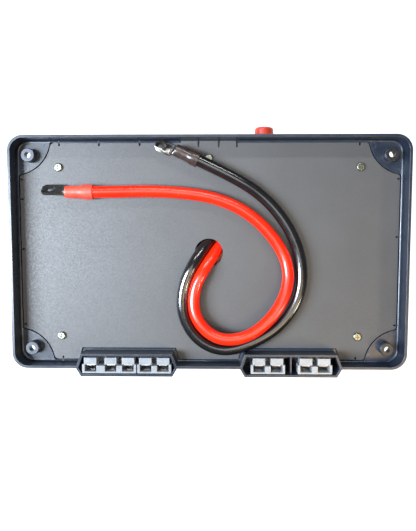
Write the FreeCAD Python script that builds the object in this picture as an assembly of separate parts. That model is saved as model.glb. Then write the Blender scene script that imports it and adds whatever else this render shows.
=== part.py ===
import FreeCAD, Part
import math
import os

# Powered lid (power hub) of a portable battery box, lying on its top face.
# +X is along the length, +Y towards the side with the red button, +Z out of the open underside.
# Origin: centre of the flat top face, which lies on the bench at z = 0. Millimetres.

# ---- driving dimensions -------------------------------------------------------------------
LENGTH = 426.0
WIDTH = 250.0
HEIGHT = 85.0
CORNER_R = 17.0
WELL_FILLET = 2.4                    # foot of the skirt's inner face
SKIRT_WALL = 3.0
FLANGE_Z = 60.0                      # underside of the step between deck body and skirt
LEDGE_Z = 65.0                       # ledge round the cover plate, flush with the plate
PLATE_T = 2.0
RIM_SPLIT_Z = 59.5                   # the rim frame stands on the shell's walls here
SEAT_Z = 61.5                        # moulded seat that the gasket and the plate rest on
PLATE_L = 414.0
PLATE_W = 238.0
PLATE_GAP = 1.4
PLATE_NOTCH_R = 41.0                 # concave corners of the plate, centred on the casing corners
PLATE_CORNER_R = 4.0
DECK_L = 415.0
DECK_W = 239.0
DECK_CORNER_R = 38.0                 # quarter-round corner recesses, centred on the casing corners
DECK_WALL = 3.5
TOP_WALL = 3.5
DECK_EDGE_R = 4.0
SHELF_INSET = 8.0                    # opening in the seat, inside the plate's outline
GASKET_OUTER_INSET = 3.4
GASKET_INNER_INSET = 6.4

BOLT_X = 194.7
BOLT_Y = 105.3
BOLT_HOLE_R = 3.25
BOSS_R = 7.5
BOSS_TOP_Z = 74.0
SLEEVE_FLANGE_R = 7.2
SLEEVE_FLANGE_T = 1.2
SLEEVE_R = 4.6
SLEEVE_Z0 = 68.0
SLEEVE_EDGE_R = 0.5
COUNTERBORE_R = 5.6                  # room for the head of an M6 bolt, from the top face's side
EJECTOR_MARKS = ((177.0, 115.6), (204.2, 87.5))
EJECTOR_R = 3.3
EJECTOR_DEPTH = 0.3

SCREW_PLACES = ((-164.3, 93.0), (164.3, 93.0), (-164.3, -93.0), (164.3, -93.0), (0.0, 102.6))
SCREW_HEAD_R = 4.4
SCREW_HEAD_H = 2.6
SCREW_R = 2.0
SCREW_LEN = 12.0
SCREW_HOLE_R = 2.25
PILLAR_R = 4.5
PILLAR_H_OVER_SEAT = 1.5
HEAD_ROUNDING = 0.45                 # rounding and slot depth of a screw's head, share of its height
CROSS_SLOT_W = 0.9
CROSS_SLOT_SHARE = 1.1               # length of the cross slot, share of the head's radius

TAB_HALF = 30.4                      # long tab of the plate on the button side
TAB_REACH = 2.2
SLOT_W = 2.0
SLOTS_TAB = (-11.2, 10.8, 30.4)
SLOT_TAB_END_Y = 115.4
NOTCH_DEPTH = 3.2
NOTCH_OVERRUN = 0.3
NOTCH_POCKET = 3.0                   # hollow in the seat under each notch
NOTCHES_TOP = (-163.3, -119.6, -75.2, 163.0)
NOTCHES_BOTTOM = (-163.3, 163.0)
NOTCHES_LEFT = (80.2, 58.7, 3.8, -80.2)
NOTCHES_RIGHT = (80.2, 17.4, -80.2)
RIB_W = 1.0
RIB_H = 0.6

CABLE_HOLE_R = 15.5

# pods: hexagonal tubes for the connectors, standing across the skirt on the long side
POD_X = 89.0
POD_POINT_HALF = 55.3
POD_FLAT_HALF = 49.8
POD_POINT_Y = -124.3
POD_INNER_Y = -109.0
POD_OUTER_Y = -133.8
POD_WALL = 2.6
POD_BASE_Z = 10.0
POD_FLOOR_Z = 13.0
POD_SHELF_Z0 = 32.3
POD_SHELF_Z1 = 36.3
POD_TAPER = 16.0
POD_RIB_X = 89.6                     # divider between the two right-hand connectors
POD_RIB_HALF = 0.8
POD_RIB_TOP_Z = 79.0

# cut-outs of the plate round the pods
CUT_INNER_Y = -106.2
CUT_INNER_HALF = 52.6
CUT_OUTER_HALF = 58.2

# connectors: genderless high-current housings, mating faces towards +Z
CONN_TOP_Y = -113.4
CONN_H = 17.0
CONN_FACE_Z = 84.0
CONN_POCKET_Z = 60.0
CONN_TONGUE_H = 7.3
CONN_RECESS_TOP = 7.3
CONN_RECESS_BOTTOM = 15.2
CONN_POLE_HALF = 6.4
CONN_SIDE = 9.0                      # pole centre to the housing's side
CONN_STEP = 2.0                      # how far the tongue side stands in from the housing's side
CONN_NOTCH_H = 8.7
CONN_NOTCH_DEPTH = 22.0
CONN_EDGE_R = 0.6
CONN_POCKET_R = 0.5
CONN_SCREW_R = 1.75
CONN_SCREW_HOLE_R = 1.9
CONN_SCREW_DEPTH = 14.0
CONN_SCREW_LEN = 16.0
CONN_SCREW_HEAD_R = 3.4
CONN_SCREW_HEAD_H = 2.2
POLES_3 = (-128.3, -106.4, -87.6)
POLES_2A = (-68.3, -49.5)
POLES_2B = (54.9, 73.7)
POLES_2C = (105.6, 124.4)
BARREL_BORE_R = 5.0
BARREL_R = 4.5
BARREL_Z0 = 42.0
CONTACT_W = 9.0
CONTACT_T = 1.3
CONTACT_TOP_Z = 80.0
SPRING_LEAF_T = 0.6
SPRING_LEAF_HALF = 3.0
SPRING_LEAF_DROP = 9.0               # leaf's end below the housing's face
POLE_Y = CONN_TOP_Y - 8.6

# output leads from the connectors to the busbars
OUT_LEAD_R = 3.25
OUT_LEAD_BEND = 12.0
BUS_Z = 18.0
BUS_T = 3.0
BUS_W = 15.0
BUS_HALF_L = 136.0
POS_BUS_Y = -86.0
NEG_BUS_Y = -54.0
BUS_FOOT_X = (-117.5, -30.0, 90.0)
STUD_R = 3.0
STUD_ABOVE = 9.0
STUD_HEAD_R = 5.0
STUD_HEAD_H = 3.0
NUT_R = 5.2
NUT_H = 4.5
TERMINAL_REACH = 8.0
TERMINAL_T = 1.5
TERMINAL_BARREL_L = 12.0
TERMINAL_RING_R = 5.5
TERMINAL_HALF_W = 4.0
TERMINAL_WEB_HALF = 3.0
TERMINAL_STOP = 3.0                  # solid end of a crimp barrel
BAR_CORNER_R = 3.0
FOOT_HALF_W = 7.0
FOOT_REACH = 11.0
FOOT_T = 4.0
PEDESTAL_HALF_W = 5.5
PEDESTAL_HALF_L = 7.0
LINK_HALF_W = 8.0
LINK_END = 7.0                       # link's end beyond the negative bar's middle
LINK_T = 2.0

# battery cables
CABLE_R = 6.5
CABLE_GAP = 0.2
CABLE_Z = LEDGE_Z + CABLE_R + CABLE_GAP
EXIT_SLOPE = math.radians(36.0)
EXIT_HEADING = (0.59, 0.807)         # direction, seen from above, in which both leads go inwards
EXIT_OFFSET = 6.7                    # each cable's axis to the pair's middle, sideways
EXIT_SIDE_SHIFT = 1.0                # the pair's middle to the hole's centre, towards black
EXIT_BACK_SHIFT = 0.8                # and inwards along the heading
EXIT_RISE = 2.9                      # height of the bend's corner over a cable lying on the plate
EXIT_RUN = 33.0

# routes of the free cables after their first two points, which exit_points() gives
RED_ROUTE = (
    (-17.3, -42.0, 73.8), (-15.0, -72.5, 76.4), (8.0, -94.0, 79.6),
    (38.5, -93.2, 80.3), (64.5, -75.2, 80.3), (83.5, -47.5, 78.0),
    (88.0, -15.0, 73.4), (71.5, 16.5, CABLE_Z), (43.0, 44.0, CABLE_Z),
    (8.5, 59.5, CABLE_Z), (-29.0, 65.2, 72.0), (-66.0, 66.8, 72.6),
    (-98.0, 66.0, 73.4), (-133.5, 65.8, 73.4),
)
BLACK_ROUTE = (
    (-28.6, -36.5, 72.0), (-29.5, -68.5, CABLE_Z), (-12.5, -97.0, CABLE_Z),
    (16.5, -109.4, CABLE_Z), (50.3, -98.7, CABLE_Z), (80.5, -79.0, CABLE_Z),
    (100.5, -46.5, CABLE_Z), (101.5, -8.0, CABLE_Z), (87.0, 28.5, CABLE_Z),
    (61.0, 60.0, CABLE_Z), (26.5, 82.2, 74.8), (-16.3, 101.5, 74.8),
)

# ring lugs on the cables' free ends
LUG_SLEEVE_R_CABLE = 8.0
LUG_SLEEVE_R_LUG = 6.7
LUG_SLEEVE_STEP = 5.0
LUG_SLEEVE_END = 21.0
LUG_FLARE_L = 3.5
SLEEVE_STEP_HALF = 2.0               # half the cone between the sleeve's two widths
RED_SLEEVE_BEHIND = 9.0
BLACK_SLEEVE_BEHIND = 6.0
# of each free lug: tip and hole from the cable's end, chamfer, rise of the tongue above the axis
RED_LUG_SHAPE = (46.0, 36.4, 3.0, 3.0)
BLACK_LUG_SHAPE = (43.4, 35.8, 4.6, -3.6)
LUG_BARREL_R = 6.0
LUG_TONGUE_W = 14.5
LUG_TONGUE_T = 3.0
LUG_HOLE_R = 4.2
LUG_ROLL_RED = 48.0
LUG_ROLL_BLACK = 38.0
BLACK_END_HEADING = (-0.911, 0.411)

# control panel in the recess of the top face
PANEL_X0 = -150.0
PANEL_X1 = 150.0
PANEL_Y0 = 14.0
PANEL_Y1 = 92.0
PANEL_R = 8.0
PANEL_WALL = 3.0                     # wall round the panel's recess
PANEL_CLEAR = 0.4                    # panel to the recess, each side
PANEL_SCREW_R = 1.5
PANEL_SCREW_HOLE_R = 1.8
PANEL_SCREW_DEPTH = 8.0
PANEL_PILLAR_R = 3.4
PANEL_PILLAR_H = 8.5
PANEL_FRONT_Z = 14.0
PANEL_T = 3.0
PANEL_FLOOR_T = 3.5
PANEL_WINDOW_INSET = 7.0
PANEL_SCREWS = ((-145.5, 18.5), (0.0, 18.5), (145.5, 18.5),
                (-145.5, 87.5), (0.0, 87.5), (145.5, 87.5))
MIDDLE_X0 = -6.0                     # the recess floor stays whole between these two
MIDDLE_X1 = 96.0

SOCKET_XY = ((-124.0, 53.0), (-78.0, 53.0))
USB_XY = (-32.0, 53.0)
SOCKET_R = 14.5
SOCKET_FLANGE_R = 18.5
SOCKET_FACE_Z = 11.5
SOCKET_END_Z = 56.0
SOCKET_BORE_R = 10.6
SOCKET_LINER_T = 0.8
SOCKET_LINER_END_Z = 46.5
SOCKET_BORE_END_Z = 51.5
USB_END_Z = 50.0
NUT_RING_R = 18.5
NUT_RING_T = 6.0
COVER_R = 18.0
COVER_T = 2.4
COVER_GAP = 0.3
HINGE_OFFSET = 20.6
HINGE_PIN_R = 1.25
HINGE_EYE_R = 2.6
HINGE_CLEAR = 0.06
HINGE_HALF_W = 4.0
HINGE_EAR_T = 3.0
HINGE_Z = 8.9

ROCKER_XY = (118.0, 72.0)
DISPLAY_XY = (119.5, 36.0)

# main circuit breaker behind the long wall, with its red button outside
BREAKER_X = 61.4
BREAKER_Z = 45.0
BREAKER_HALF_W = 24.0
BREAKER_Y0 = 66.0
BREAKER_Y1 = 113.5
BREAKER_Z0 = 24.0
BREAKER_Z1 = 57.0
BUSH_R = 12.0
BUTTON_R = 10.9
BUTTON_TIP_R = 10.3
BUTTON_TIP_Y = 138.7
BUTTON_INNER_Y = 106.0
BUTTON_BORE_END_Y = 95.0
BUTTON_CLEAR = 0.08
BEZEL_R = 14.2
POST_PLATE_Z = 30.0                  # upper face of every heavy terminal plate
STUD_Y = 55.4                        # both studs of the breaker
LOAD_STUD = (76.0, STUD_Y)
NEG_POST_Y = 73.0
POST_R = 8.0
TERMINAL_PLATE_T = 3.0
TERMINAL_PLATE_HALF = 10.0
TERMINAL_PLATE_END = 9.0             # plate's end beyond its stud
TERMINAL_PLATE_IN = 12.0             # plate's length inside the breaker
PLATE_SLOT_CLEAR = 0.2
BREAKER_CORNER_R = 3.0
BUSH_OUT = 4.5                       # bush beyond the casing's side
BEZEL_T = 4.0
BEZEL_EDGE_R = 1.0
BUTTON_SHANK_OUT = 2.0               # straight part of the button beyond the casing's side
BUTTON_TIP_FILLET = 2.8
BUTTON_CUP_R = 7.6                   # hollow for the spring
BUTTON_CUP_DEPTH = 5.0
SPRING_WIRE_R = 0.6
SPRING_COIL_R = 6.0
SPRING_TURNS = 5.0
M8_STUD_H = 14.0
M8_R = 4.0
M8_NUT_R = 7.4                       # across the corners
M8_NUT_H = 6.5

FUSE_X = (-101.0, -87.0, -73.0, -59.0)
FUSE_Y0 = -24.0
FUSE_Y1 = 4.0
FUSE_TOP_Z = 22.0

LEAD_R = 5.0                         # lead from the breaker to the positive bar
LOAD_BUS_X = 30.0
LOAD_BARREL_R = 6.2
HEAVY_BARREL_R = 7.8
LUG_EDGE = 0.6                       # tongue of an inner lug past its barrel's radius
LUG_NECK = 4.0
LUG_T = 2.4
LUG_STOP = 3.5                       # solid end of an inner lug's barrel
LUG_BARREL_SHARE = 2.6               # barrel's length, share of its radius
LOAD_LEAD_STRAIGHT = 18.0
LOAD_LEAD_SWING = (-16.0, -12.0)     # sideways shift and y of the load lead's first bend
LOAD_LEAD_LOW_Y = -38.0
LEAD_CLEAR = 0.05
WIRE_R = 1.4


# ---- small helpers ------------------------------------------------------------------------
def vec(x, y, z=0.0):
    return FreeCAD.Vector(x, y, z)


def box(x0, x1, y0, y1, z0, z1):
    return Part.makeBox(x1 - x0, y1 - y0, z1 - z0, vec(x0, y0, z0))


def cylinder(x, y, z0, z1, r):
    return Part.makeCylinder(r, z1 - z0, vec(x, y, z0))


def cylinder_y(x, y0, y1, z, r):
    return Part.makeCylinder(r, y1 - y0, vec(x, y0, z), vec(0, 1, 0))


def cylinder_x(x0, x1, y, z, r):
    return Part.makeCylinder(r, x1 - x0, vec(x0, y, z), vec(1, 0, 0))


def prism(points, z0, z1):
    corners = [vec(x, y, z0) for x, y in points]
    face = Part.Face(Part.makePolygon(corners + [corners[0]]))
    return face.extrude(vec(0, 0, z1 - z0))


def fuse(shapes):
    shapes = list(shapes)
    joined = shapes[0]
    if len(shapes) > 1:
        joined = joined.multiFuse(shapes[1:])
    return joined.removeSplitter()


def cut(shape, tools):
    tools = list(tools)
    return shape.cut(tools) if tools else shape


def upright_edges(shape, wanted):
    found = []
    for edge in shape.Edges:
        a = edge.Vertexes[0].Point
        b = edge.Vertexes[-1].Point
        upright = math.hypot(a.x - b.x, a.y - b.y) < 1e-6 and abs(a.z - b.z) > 1e-6
        if upright and wanted(a):
            found.append(edge)
    return found


def rounded_box(x0, x1, y0, y1, z0, z1, r):
    block = box(x0, x1, y0, y1, z0, z1)
    return block.makeFillet(r, upright_edges(block, lambda p: True))


def level_edges(shape, z, tol=1e-4):
    return [e for e in shape.Edges if all(abs(v.Point.z - z) < tol for v in e.Vertexes)
            and abs(e.CenterOfMass.z - z) < tol]


def corners():
    return [(sx, sy) for sx in (-1, 1) for sy in (-1, 1)]


def group(solids):
    return Part.makeCompound(list(solids))


def save(name, shape):
    bad = [s for s in shape.Solids if not s.isValid()]
    if bad or not shape.Solids:
        raise RuntimeError("bad solid in " + name)
    shape.exportStep("parts/" + name + ".step")
    print("%-28s %2d solids %10.0f mm3" % (name, len(shape.Solids), shape.Volume))


# ---- outlines -----------------------------------------------------------------------------
def casing_corner(sx, sy):
    return sx * LENGTH / 2, sy * WIDTH / 2


def corner_columns(r, z0, z1):
    return [cylinder(*casing_corner(sx, sy), z0, z1, r) for sx, sy in corners()]


def cutout_points(pod_x, inset):
    inner = CUT_INNER_Y + inset
    outer = -WIDTH / 2 - 1.0
    return [(pod_x - CUT_OUTER_HALF - inset, outer), (pod_x - CUT_INNER_HALF - inset, inner),
            (pod_x + CUT_INNER_HALF + inset, inner), (pod_x + CUT_OUTER_HALF + inset, outer)]


def plate_block(inset, z0, z1, tab=True):
    """The plate's outline, drawn in by inset (out, if it is negative), between two heights."""
    hx = PLATE_L / 2 - inset
    hy = PLATE_W / 2 - inset
    block = box(-hx, hx, -hy, hy, z0, z1)
    pods = [prism(cutout_points(sx * POD_X, inset), z0, z1) for sx in (-1, 1)]
    block = cut(block, corner_columns(PLATE_NOTCH_R + inset, z0, z1) + pods)
    rounding = PLATE_CORNER_R + min(inset, 0.0) if inset < PLATE_CORNER_R else PLATE_CORNER_R
    edge_x = LENGTH / 2 - math.sqrt((PLATE_NOTCH_R + inset) ** 2 - (WIDTH / 2 - hy) ** 2)
    edge_y = WIDTH / 2 - math.sqrt((PLATE_NOTCH_R + inset) ** 2 - (LENGTH / 2 - hx) ** 2)

    def convex(p):
        at_long_side = abs(abs(p.y) - hy) < 0.01 and abs(abs(p.x) - edge_x) < 0.01
        at_short_side = abs(abs(p.x) - hx) < 0.01 and abs(abs(p.y) - edge_y) < 0.01
        return at_long_side or at_short_side

    block = block.makeFillet(rounding, upright_edges(block, convex))
    if tab:
        reach = hy + TAB_REACH
        block = block.fuse(box(-TAB_HALF + inset, TAB_HALF - inset, hy - 5.0, reach, z0, z1))
    return block.removeSplitter()


def pod_hexagon(pod_x, inset):
    """Corners of a pod's tube, drawn in by inset."""
    run_in = POD_POINT_Y - POD_INNER_Y
    run_out = POD_OUTER_Y - POD_POINT_Y
    side = POD_POINT_HALF - POD_FLAT_HALF
    slope_in = math.hypot(run_in, side) / abs(run_in)
    slope_out = math.hypot(run_out, side) / abs(run_out)
    point = POD_POINT_HALF - inset * (slope_in + slope_out) / 2
    inner_half = point - side * (abs(run_in) - inset) / abs(run_in)
    outer_half = point - side * (abs(run_out) - inset) / abs(run_out)
    return [(pod_x - point, POD_POINT_Y), (pod_x - inner_half, POD_INNER_Y - inset),
            (pod_x + inner_half, POD_INNER_Y - inset), (pod_x + point, POD_POINT_Y),
            (pod_x + outer_half, POD_OUTER_Y + inset), (pod_x - outer_half, POD_OUTER_Y + inset)]


def pods(inset, z0, z1):
    return [prism(pod_hexagon(sx * POD_X, inset), z0, z1) for sx in (-1, 1)]


# ---- casing -------------------------------------------------------------------------------
def deck_block(inset, z0, z1, recess_r):
    hx = DECK_L / 2 - inset
    hy = DECK_W / 2 - inset
    block = cut(box(-hx, hx, -hy, hy, z0, z1), corner_columns(recess_r, z0, z1))
    return block


def pod_taper():
    """Wedge that slopes the pods' lower ends back into the deck's side."""
    y0 = POD_OUTER_Y - 1.0
    y1 = -DECK_W / 2
    half = LENGTH / 2
    profile = [vec(-half, y0, POD_BASE_Z - 1.0), vec(-half, y0, POD_BASE_Z + POD_TAPER),
               vec(-half, y1, POD_BASE_Z - 1.0)]
    face = Part.Face(Part.makePolygon(profile + [profile[0]]))
    return face.extrude(vec(LENGTH, 0, 0))


def panel_outline(out, z0, z1):
    """The control panel's outline, drawn out by out, between two heights."""
    return rounded_box(PANEL_X0 - out, PANEL_X1 + out, PANEL_Y0 - out, PANEL_Y1 + out, z0, z1,
                       PANEL_R + out)


def make_casing():
    """The shell, its rim frame, and the two hexagonal connector bays."""
    deck = deck_block(0.0, 0.0, LEDGE_Z, DECK_CORNER_R)
    deck = deck.makeFillet(DECK_EDGE_R, level_edges(deck, 0.0))
    skirt = rounded_box(-LENGTH / 2, LENGTH / 2, -WIDTH / 2, WIDTH / 2, FLANGE_Z, HEIGHT, CORNER_R)
    taper = pod_taper()
    body = fuse([deck, skirt] + [p.cut(taper) for p in pods(0.0, POD_BASE_Z, HEIGHT)])

    hx = LENGTH / 2 - SKIRT_WALL
    hy = WIDTH / 2 - SKIRT_WALL
    well = rounded_box(-hx, hx, -hy, hy, LEDGE_Z, HEIGHT + 1.0, CORNER_R - SKIRT_WALL)
    well = well.makeFillet(WELL_FILLET, level_edges(well, LEDGE_Z))
    well = cut(well, pods(0.0, LEDGE_Z - 1.0, HEIGHT + 2.0))
    seat = plate_block(-PLATE_GAP, SEAT_Z, LEDGE_Z + 1.0)
    opening = plate_block(SHELF_INSET, FLANGE_Z - 1.0, SEAT_Z + 1.0, tab=False)
    chamber = deck_block(DECK_WALL, TOP_WALL, FLANGE_Z - 0.5, PLATE_NOTCH_R + 0.5)
    chamber = cut(chamber, pods(0.0, POD_SHELF_Z0, FLANGE_Z))
    body = cut(body, [well, seat, opening, chamber])

    tubes = pods(POD_WALL, POD_SHELF_Z1, HEIGHT + 1.0)
    sumps = [p.cut(pod_taper().translated(vec(0, POD_WALL, POD_WALL)))
             for p in pods(POD_WALL, POD_FLOOR_Z, POD_SHELF_Z0)]
    body = cut(body, tubes + sumps)
    body = cut(body, [cylinder(x, POLE_Y, POD_SHELF_Z0 - 1, POD_SHELF_Z1 + 1, BARREL_BORE_R)
                      for x in all_poles()])
    body = cut(body, [cylinder(x, POLE_Y, POD_SHELF_Z0 - 1, POD_SHELF_Z1 + 1, CONN_SCREW_HOLE_R)
                      for x in connector_screw_places()])

    # recess of the control panel: its wall, then the recess and the windows in its floor
    back = PANEL_FRONT_Z + PANEL_T
    wall = panel_outline(PANEL_WALL, TOP_WALL - 1, back + PANEL_FLOOR_T)
    recess = panel_outline(PANEL_CLEAR, -1, back)
    windows = [rounded_box(x0, x1, PANEL_Y0 + PANEL_WINDOW_INSET, PANEL_Y1 - PANEL_WINDOW_INSET,
                           back - 1, back + PANEL_FLOOR_T + 1, PANEL_R / 2)
               for x0, x1 in ((PANEL_X0 + PANEL_WINDOW_INSET, MIDDLE_X0),
                              (MIDDLE_X1, PANEL_X1 - PANEL_WINDOW_INSET))]
    body = cut(fuse([body, wall]), [recess] + windows)

    # pillars for the plate's screws, corner bosses, divider in the right-hand pod
    pillars = [cylinder(x, y, TOP_WALL - 1, SEAT_Z + PILLAR_H_OVER_SEAT, PILLAR_R) for x, y in SCREW_PLACES]
    bosses = [cylinder(sx * BOLT_X, sy * BOLT_Y, LEDGE_Z - 1, BOSS_TOP_Z, BOSS_R)
              for sx, sy in corners()]
    divider = box(POD_RIB_X - POD_RIB_HALF, POD_RIB_X + POD_RIB_HALF, POD_OUTER_Y + 1, POD_INNER_Y - 1,
                  POD_SHELF_Z1 - 1, POD_RIB_TOP_Z)
    body = fuse([body, divider] + pillars + bosses + locating_ribs())
    holes = [cylinder(x, y, SEAT_Z - SCREW_LEN, LEDGE_Z, SCREW_R) for x, y in SCREW_PLACES]
    holes += [cylinder(sx * BOLT_X, sy * BOLT_Y, SLEEVE_Z0 - 1, BOSS_TOP_Z + 1, SLEEVE_R)
              for sx, sy in corners()]
    holes += [cylinder(sx * BOLT_X, sy * BOLT_Y, FLANGE_Z - 1, SLEEVE_Z0, COUNTERBORE_R)
              for sx, sy in corners()]
    holes += notch_cuts(SEAT_Z - NOTCH_POCKET, SEAT_Z + 1)
    holes += [cylinder(x, y, back - 1, back + PANEL_SCREW_DEPTH, PANEL_SCREW_R) for x, y in PANEL_SCREWS]
    holes += [cylinder(sx * x, sy * y, LEDGE_Z - EJECTOR_DEPTH, LEDGE_Z + 1, EJECTOR_R)
              for sx, sy in corners() for x, y in EJECTOR_MARKS]
    holes += [cylinder_y(BREAKER_X, DECK_W / 2 - DECK_WALL - 1, DECK_W / 2 + 1, BREAKER_Z, BUSH_R)]
    bolted = [cylinder(x, y, back, back + PANEL_PILLAR_H, PANEL_PILLAR_R) for x, y in PANEL_SCREWS]
    body = cut(fuse([body] + bolted), holes).removeSplitter()

    hexagons = pods(0.0, POD_SHELF_Z0, HEIGHT)
    bays = group(body.common(hexagon).removeSplitter() for hexagon in hexagons)
    body = cut(body, hexagons)
    above = cut(box(-LENGTH, LENGTH, -WIDTH, WIDTH, RIM_SPLIT_Z, HEIGHT + 1.0),
                [cylinder(x, y, RIM_SPLIT_Z - 1, HEIGHT + 2.0, PILLAR_R) for x, y in SCREW_PLACES])
    return cut(body, [above]).removeSplitter(), body.common(above).removeSplitter(), bays


def locating_ribs():
    """Short ribs on the ledge that point at the plate's notches."""
    z1 = LEDGE_Z + RIB_H
    z0 = LEDGE_Z - 0.5
    half = RIB_W / 2
    inner_x = LENGTH / 2 - SKIRT_WALL + 0.5
    inner_y = WIDTH / 2 - SKIRT_WALL + 0.5
    edge_x = PLATE_L / 2 + PLATE_GAP
    edge_y = PLATE_W / 2 + PLATE_GAP
    ribs = [box(x - half, x + half, edge_y, inner_y, z0, z1) for x in NOTCHES_TOP]
    ribs += [box(x - half, x + half, -inner_y, -edge_y, z0, z1) for x in NOTCHES_BOTTOM]
    ribs += [box(-inner_x, -edge_x, y - half, y + half, z0, z1) for y in NOTCHES_LEFT]
    ribs += [box(edge_x, inner_x, y - half, y + half, z0, z1) for y in NOTCHES_RIGHT]
    return ribs


def notch_cuts(z0, z1):
    """Cutters, from z0 to z1, for the short notches in the plate's edge."""
    half = SLOT_W / 2
    hx = PLATE_L / 2
    hy = PLATE_W / 2
    deep = NOTCH_DEPTH - half
    cuts = []
    for places, side in ((NOTCHES_TOP, 1), (NOTCHES_BOTTOM, -1)):
        lo, hi = sorted((side * (hy - deep), side * (hy + NOTCH_OVERRUN)))
        for x in places:
            cuts += [box(x - half, x + half, lo, hi, z0, z1), cylinder(x, side * (hy - deep), z0, z1, half)]
    for places, side in ((NOTCHES_LEFT, -1), (NOTCHES_RIGHT, 1)):
        lo, hi = sorted((side * (hx - deep), side * (hx + NOTCH_OVERRUN)))
        for y in places:
            cuts += [box(lo, hi, y - half, y + half, z0, z1), cylinder(side * (hx - deep), y, z0, z1, half)]
    return cuts


def make_cover_plate():
    z0 = LEDGE_Z - PLATE_T
    plate = plate_block(0.0, z0, LEDGE_Z)
    notches = notch_cuts(z0 - 1, LEDGE_Z + 1)
    half = SLOT_W / 2
    for x in SLOTS_TAB:
        notches += [box(x - half, x + half, SLOT_TAB_END_Y, PLATE_W / 2 + 4, z0 - 1, LEDGE_Z + 1),
                    cylinder(x, SLOT_TAB_END_Y, z0 - 1, LEDGE_Z + 1, half)]
    holes = [cylinder(x, y, z0 - 1, LEDGE_Z + 1, SCREW_HOLE_R) for x, y in SCREW_PLACES]
    holes.append(cylinder(0, 0, z0 - 1, LEDGE_Z + 1, CABLE_HOLE_R))
    return cut(plate, notches + holes)


def make_gasket():
    z1 = LEDGE_Z - PLATE_T
    outer = plate_block(GASKET_OUTER_INSET, SEAT_Z, z1, tab=False)
    inner = plate_block(GASKET_INNER_INSET, SEAT_Z - 1, z1 + 1, tab=False)
    return cut(outer, [inner])


def pan_screw(x, y, z, head_r, head_h, shank_r, shank_l, up=1):
    """Pan-head screw; z is the underside of its head, up = 1 when the head looks to +Z."""
    head = Part.makeCylinder(head_r, head_h, vec(x, y, z), vec(0, 0, up))
    rim = [e for e in head.Edges if e.Closed and abs(e.Vertexes[0].Point.z - (z + up * head_h)) < 1e-6]
    head = head.makeFillet(head_h * HEAD_ROUNDING, rim)
    shank = Part.makeCylinder(shank_r, shank_l, vec(x, y, z), vec(0, 0, -up))
    slot_z = z + up * head_h * HEAD_ROUNDING
    slots = []
    long = head_r * CROSS_SLOT_SHARE
    for w, l in ((CROSS_SLOT_W, long), (long, CROSS_SLOT_W)):
        slots.append(box(x - w / 2, x + w / 2, y - l / 2, y + l / 2,
                         min(slot_z, z + up * (head_h + 1)), max(slot_z, z + up * (head_h + 1))))
    return cut(fuse([head, shank]), slots)


def make_plate_screws():
    return group(pan_screw(x, y, LEDGE_Z, SCREW_HEAD_R, SCREW_HEAD_H, SCREW_R, SCREW_LEN)
                 for x, y in SCREW_PLACES)


def make_corner_sleeves():
    sleeves = []
    for sx, sy in corners():
        x = sx * BOLT_X
        y = sy * BOLT_Y
        flange = cylinder(x, y, BOSS_TOP_Z, BOSS_TOP_Z + SLEEVE_FLANGE_T, SLEEVE_FLANGE_R)
        flange = flange.makeFillet(SLEEVE_EDGE_R, level_edges(flange, BOSS_TOP_Z + SLEEVE_FLANGE_T))
        tube = cylinder(x, y, SLEEVE_Z0, BOSS_TOP_Z, SLEEVE_R)
        bore = cylinder(x, y, SLEEVE_Z0 - 1, BOSS_TOP_Z + 3, BOLT_HOLE_R)
        sleeves.append(cut(fuse([flange, tube]), [bore]))
    return group(sleeves)


# ---- connectors ---------------------------------------------------------------------------
def all_poles():
    return POLES_3 + POLES_2A + POLES_2B + POLES_2C


def connector_screw_places():
    places = []
    for poles in (POLES_3, POLES_2A, POLES_2B, POLES_2C):
        places += [(a + b) / 2 for a, b in zip(poles, poles[1:])]
    return places


def make_connector(poles):
    """Housing with a solid tongue above and a socket below for each pole."""
    x0 = poles[0] - CONN_SIDE
    x1 = poles[-1] + CONN_SIDE
    top = CONN_TOP_Y
    bottom = CONN_TOP_Y - CONN_H
    body = box(x0, x1, bottom, top, POD_SHELF_Z1, CONN_FACE_Z)
    body = body.makeFillet(CONN_EDGE_R, upright_edges(body, lambda p: True))
    tools = []
    for a, b in ((x0 - 1, x0 + CONN_STEP), (x1 - CONN_STEP, x1 + 1)):
        tools.append(box(a, b, top - CONN_TONGUE_H, top + 1, CONN_POCKET_Z, CONN_FACE_Z + 1))
    for x in poles:
        socket = box(x - CONN_POLE_HALF, x + CONN_POLE_HALF, top - CONN_RECESS_BOTTOM,
                     top - CONN_RECESS_TOP, CONN_POCKET_Z, CONN_FACE_Z + 1)
        tools.append(socket.makeFillet(CONN_POCKET_R, upright_edges(socket, lambda p: True)))
        tools.append(cylinder(x, POLE_Y, POD_SHELF_Z1 - 1, CONN_POCKET_Z + 0.5, BARREL_BORE_R))
    for a, b in zip(poles, poles[1:]):
        middle = (a + b) / 2
        half = (b - a) / 2 - CONN_POLE_HALF
        tools.append(box(middle - half, middle + half, top - CONN_NOTCH_H, top + 1,
                         CONN_FACE_Z - CONN_NOTCH_DEPTH, CONN_FACE_Z + 1))
        tools.append(cylinder(middle, POLE_Y, POD_SHELF_Z1 - 1, POD_SHELF_Z1 + CONN_SCREW_DEPTH,
                              CONN_SCREW_R))
    return cut(body, tools)


def make_contacts():
    """Silvered blades under the tongues, each with the crimp barrel of its lead."""
    contacts = []
    y1 = CONN_TOP_Y - CONN_RECESS_TOP
    for x in all_poles():
        blade = box(x - CONTACT_W / 2, x + CONTACT_W / 2, y1 - CONTACT_T, y1,
                    CONN_POCKET_Z, CONTACT_TOP_Z)
        nose = cylinder_x(x - CONTACT_W / 2, x + CONTACT_W / 2, y1 - CONTACT_T, CONTACT_TOP_Z,
                          CONTACT_T)
        barrel = cylinder(x, POLE_Y, BARREL_Z0, CONN_POCKET_Z, BARREL_R)
        contacts.append(fuse([blade, nose, barrel]))
    return group(contacts)


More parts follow.
